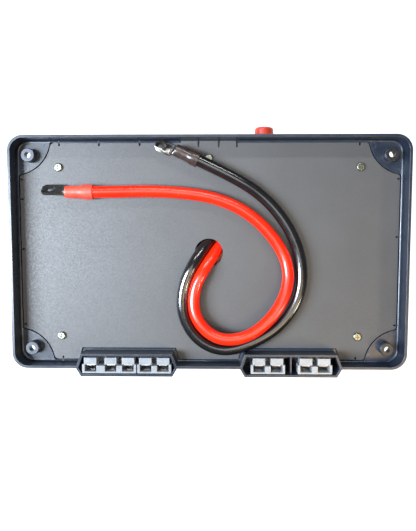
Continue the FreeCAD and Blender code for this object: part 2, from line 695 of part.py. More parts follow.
def make_contact_springs():
    """Flat springs at the bottom of the sockets that press the blades together."""
    leaves = []
    y0 = CONN_TOP_Y - CONN_RECESS_BOTTOM
    for x in all_poles():
        leaves.append(box(x - SPRING_LEAF_HALF, x + SPRING_LEAF_HALF, y0, y0 + SPRING_LEAF_T,
                          CONN_POCKET_Z, CONN_FACE_Z - SPRING_LEAF_DROP))
    return group(leaves)


def make_connector_screws():
    return group(pan_screw(x, POLE_Y, POD_SHELF_Z0, CONN_SCREW_HEAD_R, CONN_SCREW_HEAD_H, CONN_SCREW_R,
                           CONN_SCREW_LEN, up=-1)
                 for x in connector_screw_places())


# ---- cables -------------------------------------------------------------------------------
def tube(points, r, share=0.45, label=None):
    """Round bar along straight runs joined by tangent arcs, as large as the runs allow."""
    pts = [vec(*p) for p in points]
    edges = []
    radii = []
    here = pts[0]
    for a, b, c in zip(pts, pts[1:], pts[2:]):
        into = (b - a).normalize()
        out = (c - b).normalize()
        half = into.getAngle(out) / 2
        reach = share * min((b - a).Length, (c - b).Length)
        radii.append(reach / math.tan(half))
        start = b - into * reach
        end = b + out * reach
        toward = (out - into).normalize()
        middle = b + toward * (radii[-1] / math.cos(half) - radii[-1])
        edges.append(Part.LineSegment(here, start).toShape())
        edges.append(Part.Arc(start, middle, end).toShape())
        here = end
    edges.append(Part.LineSegment(here, pts[-1]).toShape())
    path = Part.Wire(edges)
    circle = Part.Wire([Part.Circle(pts[0], pts[1] - pts[0], r).toShape()])
    solid = path.makePipeShell([circle], True, False)
    if label:
        ratio = solid.Volume / (math.pi * r * r * path.Length)
        print("%s: length %.0f mm, radii %s, volume ratio %.4f"
              % (label, path.Length, " ".join("%.0f" % q for q in radii), ratio))
    return solid


def exit_points(side):
    """Start under the plate and first corner above it; side is -1 for red, +1 for black."""
    hx, hy = EXIT_HEADING
    along = vec(hx * math.cos(EXIT_SLOPE), hy * math.cos(EXIT_SLOPE), -math.sin(EXIT_SLOPE))
    offset = EXIT_OFFSET * side + EXIT_SIDE_SHIFT
    middle = vec(hx * EXIT_BACK_SHIFT - hy * offset, hy * EXIT_BACK_SHIFT + hx * offset,
                 LEDGE_Z - PLATE_T / 2)
    rise = CABLE_Z + EXIT_RISE - middle.z
    corner = middle - along * (rise / math.sin(EXIT_SLOPE))
    return corner + along * EXIT_RUN, corner


def cable_points(side, route):
    start, corner = exit_points(side)
    return [tuple(start), tuple(corner)] + list(route)


def make_inner_lead(side, stud, heading):
    """Continuation of a battery cable under the plate, from its face to its lug."""
    start, _ = exit_points(side)
    reach = lug_reach(HEAVY_BARREL_R)
    end = (stud[0] - heading[0] * reach, stud[1] - heading[1] * reach, POST_PLATE_Z + HEAVY_BARREL_R)
    return tube([tuple(start), tuple(inner_corner(side)), end], CABLE_R, share=0.3)


def inner_corner(side):
    """Where an inner lead levels out at the height of its lug's barrel."""
    start, corner = exit_points(side)
    drop = start.z - POST_PLATE_Z - HEAVY_BARREL_R
    return start + (start - corner).normalize() * (drop / math.sin(EXIT_SLOPE))


def red_stud():
    """The breaker's battery-side stud, straight ahead of the red lead."""
    bend = inner_corner(-1)
    hx, hy = EXIT_HEADING
    return bend.x + hx / hy * (STUD_Y - bend.y), STUD_Y


def neg_post():
    """The negative post, straight along +Y from the black lead's bend."""
    return inner_corner(1).x, NEG_POST_Y


def load_lead_points():
    """From the breaker's second stud, between the fittings, to the positive bar."""
    x, y = LOAD_STUD
    high = POST_PLATE_Z + LOAD_BARREL_R
    low = BUS_Z + BUS_T + LOAD_BARREL_R
    reach = lug_reach(LOAD_BARREL_R)
    swing_x, swing_y = LOAD_LEAD_SWING
    return [(x, y - reach, high), (x, y - reach - LOAD_LEAD_STRAIGHT, high),
            (x + swing_x, swing_y, (high + low) / 2),
            (LOAD_BUS_X, LOAD_LEAD_LOW_Y, low), (LOAD_BUS_X, POS_BUS_Y + reach, low)]


def lug_reach(barrel_r):
    """Distance from a lug's stud to the face inside its barrel where the lead ends."""
    return barrel_r + LUG_EDGE + LUG_NECK + LUG_STOP


def make_inner_lugs():
    """Lugs of both battery leads under the plate, and both lugs of the breaker's load lead."""
    hx, hy = EXIT_HEADING
    lugs = [ring_lug(red_stud(), (-hx, -hy), POST_PLATE_Z, HEAVY_BARREL_R, M8_R, CABLE_R),
            ring_lug(neg_post(), (0.0, -1.0), POST_PLATE_Z, HEAVY_BARREL_R, M8_R, CABLE_R),
            ring_lug(LOAD_STUD, (0.0, -1.0), POST_PLATE_Z, LOAD_BARREL_R, M8_R, LEAD_R),
            ring_lug((LOAD_BUS_X, POS_BUS_Y), (0.0, 1.0), BUS_Z + BUS_T, LOAD_BARREL_R, STUD_R, LEAD_R)]
    return group(lugs)


def ring_lug(centre, heading, plate_z, barrel_r, hole_r, cable_r):
    """Flat-bottomed ring lug: tongue on plate_z, barrel away from the stud along heading."""
    half = barrel_r + LUG_EDGE
    far = half + LUG_NECK
    length = barrel_r * LUG_BARREL_SHARE
    tongue = fuse([box(0, half + 2, -half, half, 0, LUG_T), cylinder(0, 0, 0, LUG_T, half)])

    def frame(x, w, z0, z1):
        pts = [vec(x, -w, z0), vec(x, w, z0), vec(x, w, z1), vec(x, -w, z1)]
        return Part.makePolygon(pts + [pts[0]])

    neck = Part.makeLoft([frame(half, half, 0, LUG_T),
                          frame(far, barrel_r * 0.8, barrel_r * 0.4, barrel_r * 1.6)], True)
    barrel = cylinder_x(far - 0.5, far + length, 0, barrel_r, barrel_r)
    lug = cut(fuse([tongue, neck, barrel]),
              [cylinder(0, 0, -1, LUG_T + 1, hole_r),
               cylinder_x(far + LUG_STOP, far + length + 1, 0, barrel_r, cable_r + LEAD_CLEAR)])
    turn = FreeCAD.Rotation(vec(1, 0, 0), vec(heading[0], heading[1], 0))
    lug.Placement = FreeCAD.Placement(vec(centre[0], centre[1], plate_z), turn)
    return lug


def free_lug(end, heading, roll, lug):
    """Lug at a cable's free end. Local +X runs along the cable, away from it."""
    tip_x, hole_x, chamfer, rise = lug
    w = LUG_TONGUE_W / 2
    z0 = rise - LUG_TONGUE_T / 2
    z1 = rise + LUG_TONGUE_T / 2
    x0 = LUG_SLEEVE_END
    c = chamfer
    tongue = prism([(x0, -w), (tip_x - c, -w), (tip_x, -w + c), (tip_x, w - c), (tip_x - c, w), (x0, w)],
                   z0, z1)
    tongue = cut(tongue, [box(x0 - 1, x0 + LUG_FLARE_L, -w - 1, w + 1, z0 - 1, z1 + 1)])
    barrel = cylinder_x(1.0, x0, 0, 0, LUG_BARREL_R)
    far = x0 + LUG_FLARE_L
    flare = Part.makeLoft([Part.Wire(Part.makeCircle(LUG_BARREL_R, vec(x0, 0, 0), vec(1, 0, 0))),
                           Part.makePolygon([vec(far, -w, z0), vec(far, w, z0), vec(far, w, z1),
                                             vec(far, -w, z1), vec(far, -w, z0)])], True)
    body = fuse([tongue, barrel, flare])
    body = cut(body, [cylinder(hole_x, 0, rise - 5, rise + 5, LUG_HOLE_R)])
    return place_on_cable(body, end, heading, roll)


def free_sleeve(end, heading, roll, behind):
    """Shrunk sleeve over the lug's barrel and the end of the insulation."""
    step = LUG_SLEEVE_STEP
    half = SLEEVE_STEP_HALF
    cone = Part.makeCone(LUG_SLEEVE_R_CABLE, LUG_SLEEVE_R_LUG, 2 * half, vec(step - half, 0, 0),
                         vec(1, 0, 0))
    outer = fuse([cylinder_x(-behind, step - half, 0, 0, LUG_SLEEVE_R_CABLE), cone,
                  cylinder_x(step + half, LUG_SLEEVE_END, 0, 0, LUG_SLEEVE_R_LUG)])
    inner = [cylinder_x(-behind - 1, 0.0, 0, 0, CABLE_R + LEAD_CLEAR),
             cylinder_x(-0.5, LUG_SLEEVE_END + 1, 0, 0, LUG_BARREL_R)]
    return place_on_cable(cut(outer, inner), end, heading, roll)


def place_on_cable(shape, end, heading, roll):
    turn = FreeCAD.Rotation(vec(0, 0, 1), math.degrees(math.atan2(heading[1], heading[0])))
    shape = shape.copy()
    shape.rotate(vec(0, 0, 0), vec(1, 0, 0), roll)
    shape.Placement = FreeCAD.Placement(vec(*end), turn).multiply(shape.Placement)
    return shape


# ---- inner wiring -------------------------------------------------------------------------
def output_leads(poles, bus_y):
    z = BUS_Z + BUS_T + BARREL_R
    end = bus_y - TERMINAL_REACH - TERMINAL_STOP
    r = OUT_LEAD_BEND
    leads = []
    for x in poles:
        top = vec(x, POLE_Y, BARREL_Z0)
        start = vec(x, POLE_Y, z + r)
        middle = vec(x, POLE_Y + r * (1 - math.cos(math.pi / 4)), z + r * (1 - math.sin(math.pi / 4)))
        stop = vec(x, POLE_Y + r, z)
        last = vec(x, end, z)
        path = Part.Wire([Part.LineSegment(top, start).toShape(), Part.Arc(start, middle, stop).toShape(),
                          Part.LineSegment(stop, last).toShape()])
        circle = Part.Wire([Part.Circle(top, vec(0, 0, -1), OUT_LEAD_R).toShape()])
        leads.append(path.makePipeShell([circle], True, False))
    return leads


def positive_poles():
    return (POLES_3[0], POLES_3[2], POLES_2A[0], POLES_2B[0], POLES_2C[0])


def negative_poles():
    return (POLES_3[1], POLES_2A[1], POLES_2B[1], POLES_2C[1])


def bus_terminal(x, bus_y):
    z = BUS_Z + BUS_T
    reach = TERMINAL_REACH
    tongue = fuse([cylinder(x, bus_y, z, z + TERMINAL_T, TERMINAL_RING_R),
                   box(x - TERMINAL_HALF_W, x + TERMINAL_HALF_W, bus_y - reach - 2, bus_y, z,
                       z + TERMINAL_T)])
    barrel = cylinder_y(x, bus_y - reach - TERMINAL_BARREL_L, bus_y - reach, z + BARREL_R, BARREL_R)
    bore = cylinder_y(x, bus_y - reach - TERMINAL_BARREL_L - 1, bus_y - reach - TERMINAL_STOP,
                      z + BARREL_R, OUT_LEAD_R)
    web = box(x - TERMINAL_WEB_HALF, x + TERMINAL_WEB_HALF, bus_y - reach - 1,
              bus_y - reach + TERMINAL_T, z, z + 2 * TERMINAL_T)
    return cut(fuse([tongue, barrel, web]), [bore, cylinder(x, bus_y, z - 1, z + 4, STUD_R)])


def make_terminals():
    return group([bus_terminal(x, POS_BUS_Y) for x in positive_poles()]
                 + [bus_terminal(x, NEG_BUS_Y) for x in negative_poles()])


def bus_studs():
    places = [(x, POS_BUS_Y) for x in positive_poles() + (LOAD_BUS_X,)]
    places += [(x, NEG_BUS_Y) for x in negative_poles() + (neg_post()[0],)]
    return places


def make_busbar(y, places):
    bar = rounded_box(-BUS_HALF_L, BUS_HALF_L, y - BUS_W / 2, y + BUS_W / 2, BUS_Z,
                      BUS_Z + BUS_T, BAR_CORNER_R)
    return cut(bar, [cylinder(x, y, BUS_Z - 1, BUS_Z + BUS_T + 1, STUD_R) for x in places])


def make_busbar_base():
    """Insulating feet under both bars, fixed to the inside of the top wall."""
    feet = []
    for x in BUS_FOOT_X:
        foot = rounded_box(x - FOOT_HALF_W, x + FOOT_HALF_W, POS_BUS_Y - FOOT_REACH,
                           NEG_BUS_Y + FOOT_REACH, TOP_WALL, TOP_WALL + FOOT_T, BAR_CORNER_R)
        pedestals = [box(x - PEDESTAL_HALF_W, x + PEDESTAL_HALF_W, y - PEDESTAL_HALF_L,
                         y + PEDESTAL_HALF_L, TOP_WALL + FOOT_T - 1, BUS_Z)
                     for y in (POS_BUS_Y, NEG_BUS_Y)]
        feet.append(fuse([foot] + pedestals))
    return group(feet)


def make_bus_studs():
    studs = []
    for x, y in bus_studs():
        head = cylinder(x, y, BUS_Z - STUD_HEAD_H, BUS_Z, STUD_HEAD_R)
        studs.append(fuse([head, cylinder(x, y, BUS_Z - 1, BUS_Z + BUS_T + STUD_ABOVE, STUD_R)]))
    return group(studs)


def hex_nut(x, y, z, across_r, height, hole_r):
    turns = [math.radians(60 * k) for k in range(6)]
    nut = prism([(x + across_r * math.cos(t), y + across_r * math.sin(t)) for t in turns], z, z + height)
    return cut(nut, [cylinder(x, y, z - 1, z + height + 1, hole_r)])


def make_bus_nuts():
    nuts = []
    for x, y in bus_studs():
        lift = {LOAD_BUS_X: LUG_T, neg_post()[0]: LINK_T}.get(x, TERMINAL_T)
        nuts.append(hex_nut(x, y, BUS_Z + BUS_T + lift, NUT_R, NUT_H, STUD_R))
    return group(nuts)


def make_negative_link():
    x, y = neg_post()
    z = BUS_Z + BUS_T
    bar = rounded_box(x - LINK_HALF_W, x + LINK_HALF_W, NEG_BUS_Y - LINK_END, y + LINK_HALF_W, z,
                      z + LINK_T, BAR_CORNER_R)
    return cut(bar, [cylinder(x, NEG_BUS_Y, z - 1, z + 3, STUD_R), cylinder(x, y, z - 1, z + 3, M8_R)])


def make_negative_post():
    x, y = neg_post()
    z = BUS_Z + BUS_T
    stand = cylinder(x, y, z + LINK_T, POST_PLATE_Z, POST_R)
    stud = cylinder(x, y, z, POST_PLATE_Z + M8_STUD_H, M8_R)
    return fuse([stand, stud])


def make_heavy_nuts():
    """Nuts on the three heavy studs."""
    return group(hex_nut(x, y, POST_PLATE_Z + LUG_T, M8_NUT_R, M8_NUT_H, M8_R)
                 for x, y in (red_stud(), LOAD_STUD, neg_post()))


# ---- breaker ------------------------------------------------------------------------------
def make_breaker():
    x0 = BREAKER_X - BREAKER_HALF_W
    x1 = BREAKER_X + BREAKER_HALF_W
    body = rounded_box(x0, x1, BREAKER_Y0, BREAKER_Y1, BREAKER_Z0, BREAKER_Z1,
                       BREAKER_CORNER_R)
    bush_end = DECK_W / 2 + BUSH_OUT
    bush = cylinder_y(BREAKER_X, BREAKER_Y1 - 1, bush_end, BREAKER_Z, BUSH_R)
    bore = cylinder_y(BREAKER_X, BUTTON_BORE_END_Y, bush_end + 1, BREAKER_Z, BUTTON_R + BUTTON_CLEAR)
    half = TERMINAL_PLATE_HALF + PLATE_SLOT_CLEAR
    slots = [box(x - half, x + half, BREAKER_Y0 - 1, BREAKER_Y0 + TERMINAL_PLATE_IN,
                 POST_PLATE_Z - TERMINAL_PLATE_T, POST_PLATE_Z)
             for x in (red_stud()[0], LOAD_STUD[0])]
    return cut(fuse([body, bush]), [bore] + slots)


def make_breaker_terminals():
    plates = []
    for x, y in (red_stud(), LOAD_STUD):
        plate = box(x - TERMINAL_PLATE_HALF, x + TERMINAL_PLATE_HALF, y - TERMINAL_PLATE_END,
                    BREAKER_Y0 + TERMINAL_PLATE_IN, POST_PLATE_Z - TERMINAL_PLATE_T, POST_PLATE_Z)
        plates.append(fuse([plate, cylinder(x, y, POST_PLATE_Z - 1, POST_PLATE_Z + M8_STUD_H, M8_R)]))
    return group(plates)


def make_bezel_nut():
    y0 = DECK_W / 2
    y1 = y0 + BEZEL_T
    ring = cylinder_y(BREAKER_X, y0, y1, BREAKER_Z, BEZEL_R)
    outer = [e for e in ring.Edges if e.Closed and abs(e.Vertexes[0].Point.y - y1) < 1e-6]
    ring = ring.makeFillet(BEZEL_EDGE_R, outer)
    return cut(ring, [cylinder_y(BREAKER_X, y0 - 1, y1 + 1, BREAKER_Z, BUSH_R)])


def make_reset_button():
    shank_end = DECK_W / 2 + BUTTON_SHANK_OUT
    axis = vec(0, 1, 0)
    shank = cylinder_y(BREAKER_X, BUTTON_INNER_Y, shank_end, BREAKER_Z, BUTTON_R)
    cap = Part.makeCone(BUTTON_R, BUTTON_TIP_R, BUTTON_TIP_Y - shank_end,
                        vec(BREAKER_X, shank_end, BREAKER_Z), axis)
    button = fuse([shank, cap])
    tip = [e for e in button.Edges if e.Closed and abs(e.Vertexes[0].Point.y - BUTTON_TIP_Y) < 1e-6]
    button = button.makeFillet(BUTTON_TIP_FILLET, tip)
    return cut(button, [cylinder_y(BREAKER_X, BUTTON_INNER_Y - 1, BUTTON_INNER_Y + BUTTON_CUP_DEPTH,
                                   BREAKER_Z, BUTTON_CUP_R)])


def make_button_spring():
    """Coil spring between the bottom of the breaker's bore and the button."""
    length = BUTTON_INNER_Y + BUTTON_CUP_DEPTH - BUTTON_BORE_END_Y - 2 * SPRING_WIRE_R
    helix = Part.makeHelix(length / SPRING_TURNS, length, SPRING_COIL_R)
    ring = Part.Wire([Part.Circle(vec(SPRING_COIL_R, 0, 0), vec(0, 1, 0), SPRING_WIRE_R).toShape()])
    coil = Part.Wire(helix.Edges).makePipeShell([ring], True, True)
    turn = FreeCAD.Rotation(vec(0, 0, 1), vec(0, 1, 0))
    coil.Placement = FreeCAD.Placement(vec(BREAKER_X, BUTTON_BORE_END_Y + SPRING_WIRE_R, BREAKER_Z),
                                         turn)
    return coil


# ---- control panel ------------------------------------------------------------------------
def make_control_panel():
    z0 = PANEL_FRONT_Z
    z1 = z0 + PANEL_T
    panel = rounded_box(PANEL_X0, PANEL_X1, PANEL_Y0, PANEL_Y1, z0, z1, PANEL_R)
    holes = [cylinder(x, y, z0 - 1, z1 + 1, SOCKET_R) for x, y in SOCKET_XY + (USB_XY,)]
    holes += [cylinder(x, y, z0 - 1, z1 + 1, PANEL_SCREW_HOLE_R) for x, y in PANEL_SCREWS]
    rx, ry = ROCKER_XY
    dx, dy = DISPLAY_XY
    holes.append(box(rx - 13.0, rx + 13.0, ry - 9.0, ry + 9.0, z0 - 1, z1 + 1))
    holes.append(box(dx - 21.0, dx + 21.0, dy - 11.0, dy + 11.0, z0 - 1, z1 + 1))
    return cut(panel, holes)


def make_panel_screws():
    return group(pan_screw(x, y, PANEL_FRONT_Z, 3.0, 2.0, 1.5, 10.0, up=-1) for x, y in PANEL_SCREWS)


def hinge_ears(x, y):
    """Two ears beside the cover's eye, with a hole for the pin."""
    ears = []
    for s in (-1, 1):
        a = x + s * (HINGE_HALF_W + 0.3)
        b = a + s * HINGE_EAR_T
        lo = min(a, b)
        hi = max(a, b)
        ears.append(box(lo, hi, y + HINGE_OFFSET - 2.6, y + HINGE_OFFSET + 2.6, HINGE_Z, PANEL_FRONT_Z))
        ears.append(cylinder_x(lo, hi, y + HINGE_OFFSET, HINGE_Z, HINGE_EYE_R))
        ears.append(box(lo, hi, y + 12.0, y + HINGE_OFFSET, SOCKET_FACE_Z, PANEL_FRONT_Z))
    return ears


def hinge_pin_bar(x, y, r):
    half = HINGE_HALF_W + 0.3 + HINGE_EAR_T
    return cylinder_x(x - half, x + half, y + HINGE_OFFSET, HINGE_Z, r)


def make_accessory_socket(x, y):
    flange = cylinder(x, y, SOCKET_FACE_Z, PANEL_FRONT_Z, SOCKET_FLANGE_R)
    body = fuse([flange, cylinder(x, y, PANEL_FRONT_Z - 1, SOCKET_END_Z, SOCKET_R)] + hinge_ears(x, y))
    bore = cylinder(x, y, SOCKET_FACE_Z - 1, SOCKET_BORE_END_Z, SOCKET_BORE_R + SOCKET_LINER_T)
    contact = cylinder(x, y, SOCKET_BORE_END_Z - 1, SOCKET_BORE_END_Z + 3, 3.0)
    return cut(body, [bore, contact, hinge_pin_bar(x, y, HINGE_PIN_R)])


def make_socket_liners():
    z0 = SOCKET_FACE_Z + 1.0
    outer_r = SOCKET_BORE_R + SOCKET_LINER_T
    return group(cut(cylinder(x, y, z0, SOCKET_LINER_END_Z, outer_r),
                     [cylinder(x, y, z0 - 1, SOCKET_LINER_END_Z + 1, SOCKET_BORE_R)])
                 for x, y in SOCKET_XY)


def make_centre_contacts():
    pins = []
    for x, y in SOCKET_XY:
        pin = cylinder(x, y, SOCKET_BORE_END_Z - 4.0, SOCKET_BORE_END_Z + 3.0, 3.0)
        pins.append(pin.makeFillet(1.0, level_edges(pin, SOCKET_BORE_END_Z - 4.0)))
    return group(pins)


def make_socket_nuts():
    back = PANEL_FRONT_Z + PANEL_T
    return group(cut(cylinder(x, y, back, back + NUT_RING_T, NUT_RING_R),
                     [cylinder(x, y, back - 1, back + NUT_RING_T + 1, SOCKET_R)])
                 for x, y in SOCKET_XY + (USB_XY,))


def make_cover(x, y):
    """Cap over a socket, with an eye that turns on the hinge pin."""
    z1 = SOCKET_FACE_Z - COVER_GAP
    z0 = z1 - COVER_T
    disc = cylinder(x, y, z0, z1, COVER_R)
    disc = disc.makeFillet(1.0, level_edges(disc, z0))
    lip = box(x - 5.0, x + 5.0, y - COVER_R - 3.0, y - COVER_R + 4.0, z0, z1)
    arm = box(x - HINGE_HALF_W, x + HINGE_HALF_W, y + 10.0, y + HINGE_OFFSET, z0, z1)
    eye = cylinder_x(x - HINGE_HALF_W, x + HINGE_HALF_W, y + HINGE_OFFSET, HINGE_Z, 2.2)
    return cut(fuse([disc, lip, arm, eye]), [hinge_pin_bar(x, y, HINGE_PIN_R + HINGE_CLEAR)])


def make_hinge_pins():
    return group(hinge_pin_bar(x, y, HINGE_PIN_R) for x, y in SOCKET_XY + (USB_XY,))


def make_usb_charger(x, y):
    flange = cylinder(x, y, SOCKET_FACE_Z, PANEL_FRONT_Z, SOCKET_FLANGE_R)
    body = fuse([flange, cylinder(x, y, PANEL_FRONT_Z - 1, USB_END_Z, SOCKET_R)] + hinge_ears(x, y))
    face = SOCKET_FACE_Z
    ports = [box(x - 6.6, x + 6.6, y + s * 5.2 - 2.6, y + s * 5.2 + 2.6, face - 1, face + 16)
             for s in (-1, 1)]
    tongues = [box(x - 5.4, x + 5.4, y + s * 5.2 + 0.6, y + s * 5.2 + 2.2, face + 2, face + 17)
               for s in (-1, 1)]
    return fuse([cut(body, ports + [hinge_pin_bar(x, y, HINGE_PIN_R)])] + tongues)


ROCKER_PIVOT_Z = 14.0
ROCKER_ARC_R = 7.4
ROCKER_HALF_W = 6.6
ROCKER_TILT = 8.0
ROCKER_PIN_R = 1.0


def make_rocker_housing():
    x, y = ROCKER_XY
    bezel = rounded_box(x - 15, x + 15, y - 11, y + 11, PANEL_FRONT_Z - 2, PANEL_FRONT_Z, 2)
    body = fuse([bezel, box(x - 12.8, x + 12.8, y - 8.8, y + 8.8, PANEL_FRONT_Z - 1, PANEL_FRONT_Z + 20)])
    room = box(x - ROCKER_HALF_W - 0.4, x + ROCKER_HALF_W + 0.4, y - 7.9, y + 7.9,
               PANEL_FRONT_Z - 3, PANEL_FRONT_Z + 10)
    tabs = [box(x + d - 2.4, x + d + 2.4, y - 0.4, y + 0.4, PANEL_FRONT_Z + 19.5, PANEL_FRONT_Z + 26)
            for d in (-7.0, 7.0)]
    pin = cylinder_x(x - 10.5, x + 10.5, y, ROCKER_PIVOT_Z, ROCKER_PIN_R)
    return fuse([cut(body, [room])] + tabs + [pin])


def make_rocker_paddle():
    """Paddle with a shallow V face, tilted to its off position about the pivot pin."""
    x, y = ROCKER_XY
    half = ROCKER_HALF_W
    drum = cylinder_x(x - half, x + half, y, ROCKER_PIVOT_Z, ROCKER_ARC_R)
    rise = math.tan(math.radians(ROCKER_TILT))
    far = 12.0
    face_z = ROCKER_PIVOT_Z - 3.6
    outline = [(-far, face_z - far * rise), (0.0, face_z), (far, face_z - far * rise),
               (far, -20.0), (-far, -20.0)]
    pts = [vec(x - half - 1, y + a, b) for a, b in outline]
    above = Part.Face(Part.makePolygon(pts + [pts[0]])).extrude(vec(2 * half + 2, 0, 0))
    below = box(x - half - 1, x + half + 1, y - far, y + far, ROCKER_PIVOT_Z + 2.6, ROCKER_PIVOT_Z + 20)
    pivot = cylinder_x(x - half - 1, x + half + 1, y, ROCKER_PIVOT_Z, ROCKER_PIN_R + 0.06)
    paddle = cut(drum, [above, below, pivot])
    paddle.rotate(vec(x, y, ROCKER_PIVOT_Z), vec(1, 0, 0), ROCKER_TILT)
    return paddle


def make_display_window():
    x, y = DISPLAY_XY
    lens = rounded_box(x - 23, x + 23, y - 13, y + 13, PANEL_FRONT_Z - 1.2, PANEL_FRONT_Z, 2)
    return lens


def make_display_module():
    x, y = DISPLAY_XY
    glass = box(x - 20.5, x + 20.5, y - 10.5, y + 10.5, PANEL_FRONT_Z + 0.2, PANEL_FRONT_Z + 4)
    back = PANEL_FRONT_Z + PANEL_T
    board = box(x - 22.5, x + 22.5, y - 13, y + 13, back + 0.2, back + 1.8)
    parts = [box(x - 12, x - 2, y - 6, y + 6, board.BoundBox.ZMax - 0.2, board.BoundBox.ZMax + 2.5),
             box(x + 6, x + 16, y - 10, y - 4, board.BoundBox.ZMax - 0.2, board.BoundBox.ZMax + 7)]
    return fuse([glass, board] + parts)


# ---- fuse block, clamp and small wires ----------------------------------------------------
def make_fuse_block():
    x0 = FUSE_X[0] - 8
    x1 = FUSE_X[-1] + 8
    block = rounded_box(x0, x1, FUSE_Y0, FUSE_Y1, TOP_WALL, FUSE_TOP_Z, 2)
    slots = []
    for x in FUSE_X:
        slots.append(box(x - 3.0, x + 3.0, FUSE_Y0 + 4, FUSE_Y1 - 4, FUSE_TOP_Z - 9, FUSE_TOP_Z + 1))
    return cut(block, slots)


def make_blade_fuses():
    fuses = []
    for x in FUSE_X:
        cap = rounded_box(x - 2.6, x + 2.6, FUSE_Y0 + 4.5, FUSE_Y1 - 4.5, FUSE_TOP_Z - 2, FUSE_TOP_Z + 9, 1)
        blades = [box(x - 0.4, x + 0.4, y, y + 5.0, FUSE_TOP_Z - 8.5, FUSE_TOP_Z - 1.5)
                  for y in (FUSE_Y0 + 5.5, FUSE_Y1 - 10.5)]
        fuses.append(fuse([cap] + blades))
    return group(fuses)


CLAMP_HALF_W = 19.0
CLAMP_HALF_H = 9.0
CLAMP_S0 = 2.0
CLAMP_S1 = 13.0


def clamp_frame(shape):
    """Turns a shape drawn along +X at the origin onto the middle line between the two cables."""
    red, red_corner = exit_points(-1)
    black, _ = exit_points(1)
    middle = (red + black) * 0.5
    along = (red - red_corner).normalize()
    side = vec(-EXIT_HEADING[1], EXIT_HEADING[0], 0).normalize()
    up = along.cross(side)
    turn = FreeCAD.Rotation(along, side, up, "XYZ")
    shape.Placement = FreeCAD.Placement(middle, turn).multiply(shape.Placement)
    return shape


def make_clamp():
    """Lower half on a foot, upper half as a cap, and their two screws."""
    holes = [cylinder_x(CLAMP_S0 - 1, CLAMP_S1 + 1, side * EXIT_OFFSET, 0, CABLE_R + 0.05)
             for side in (-1, 1)]
    lower = cut(box(CLAMP_S0, CLAMP_S1, -CLAMP_HALF_W, CLAMP_HALF_W, -CLAMP_HALF_H, -0.4), holes)
    upper = cut(box(CLAMP_S0, CLAMP_S1, -CLAMP_HALF_W, CLAMP_HALF_W, 0.4, CLAMP_HALF_H - 1), holes)
    screws = []
    middle = (CLAMP_S0 + CLAMP_S1) / 2
    for side in (-1, 1):
        y = side * (CLAMP_HALF_W - 2.8)
        hole = cylinder(middle, y, -8.0, CLAMP_HALF_H, 1.5)
        lower = lower.cut(hole)
        upper = upper.cut(hole)
        screws.append(pan_screw(middle, y, CLAMP_HALF_H - 1, 2.8, 1.8, 1.5, 15.0))
    lower = clamp_frame(lower)
    upper = clamp_frame(upper)
    top = PANEL_FRONT_Z + PANEL_T + PANEL_FLOOR_T
    foot = box(-5.0, 6.0, 22.5, 32.0, top, 46.0)
    keep_out = clamp_frame(box(-20, 60, -40, 40, -CLAMP_HALF_H + 1.5, 60))
    lower = fuse([lower, foot.cut(keep_out)])
    return lower, upper, group(clamp_frame(s) for s in screws)


def small_wires():
    """Feeds from the fuses to the fittings, and returns to the negative bar."""
    feeds = []
    ends = [(-124.0, 38.0), (-78.0, 38.0), (-32.0, 38.0)]
    for x, (ex, ey) in zip(FUSE_X, ends):
        feeds.append(tube([(x, FUSE_Y1 - 3.0, FUSE_TOP_Z + 4), (x, FUSE_Y1 + 9, FUSE_TOP_Z + 6),
                           (ex, ey - 13, 36.0), (ex, ey, 38.0)], WIRE_R))
    returns = []
    for ex, ey in ends:
        returns.append(tube([(ex + 6.0, ey + 1.5, 44.0), (ex + 6.0, ey - 14, 43.0),
                             (ex + 7.0, -20.0, 39.0), (ex + 6.0, NEG_BUS_Y + 9.0, 26.0)], WIRE_R))
    return group(feeds + returns)


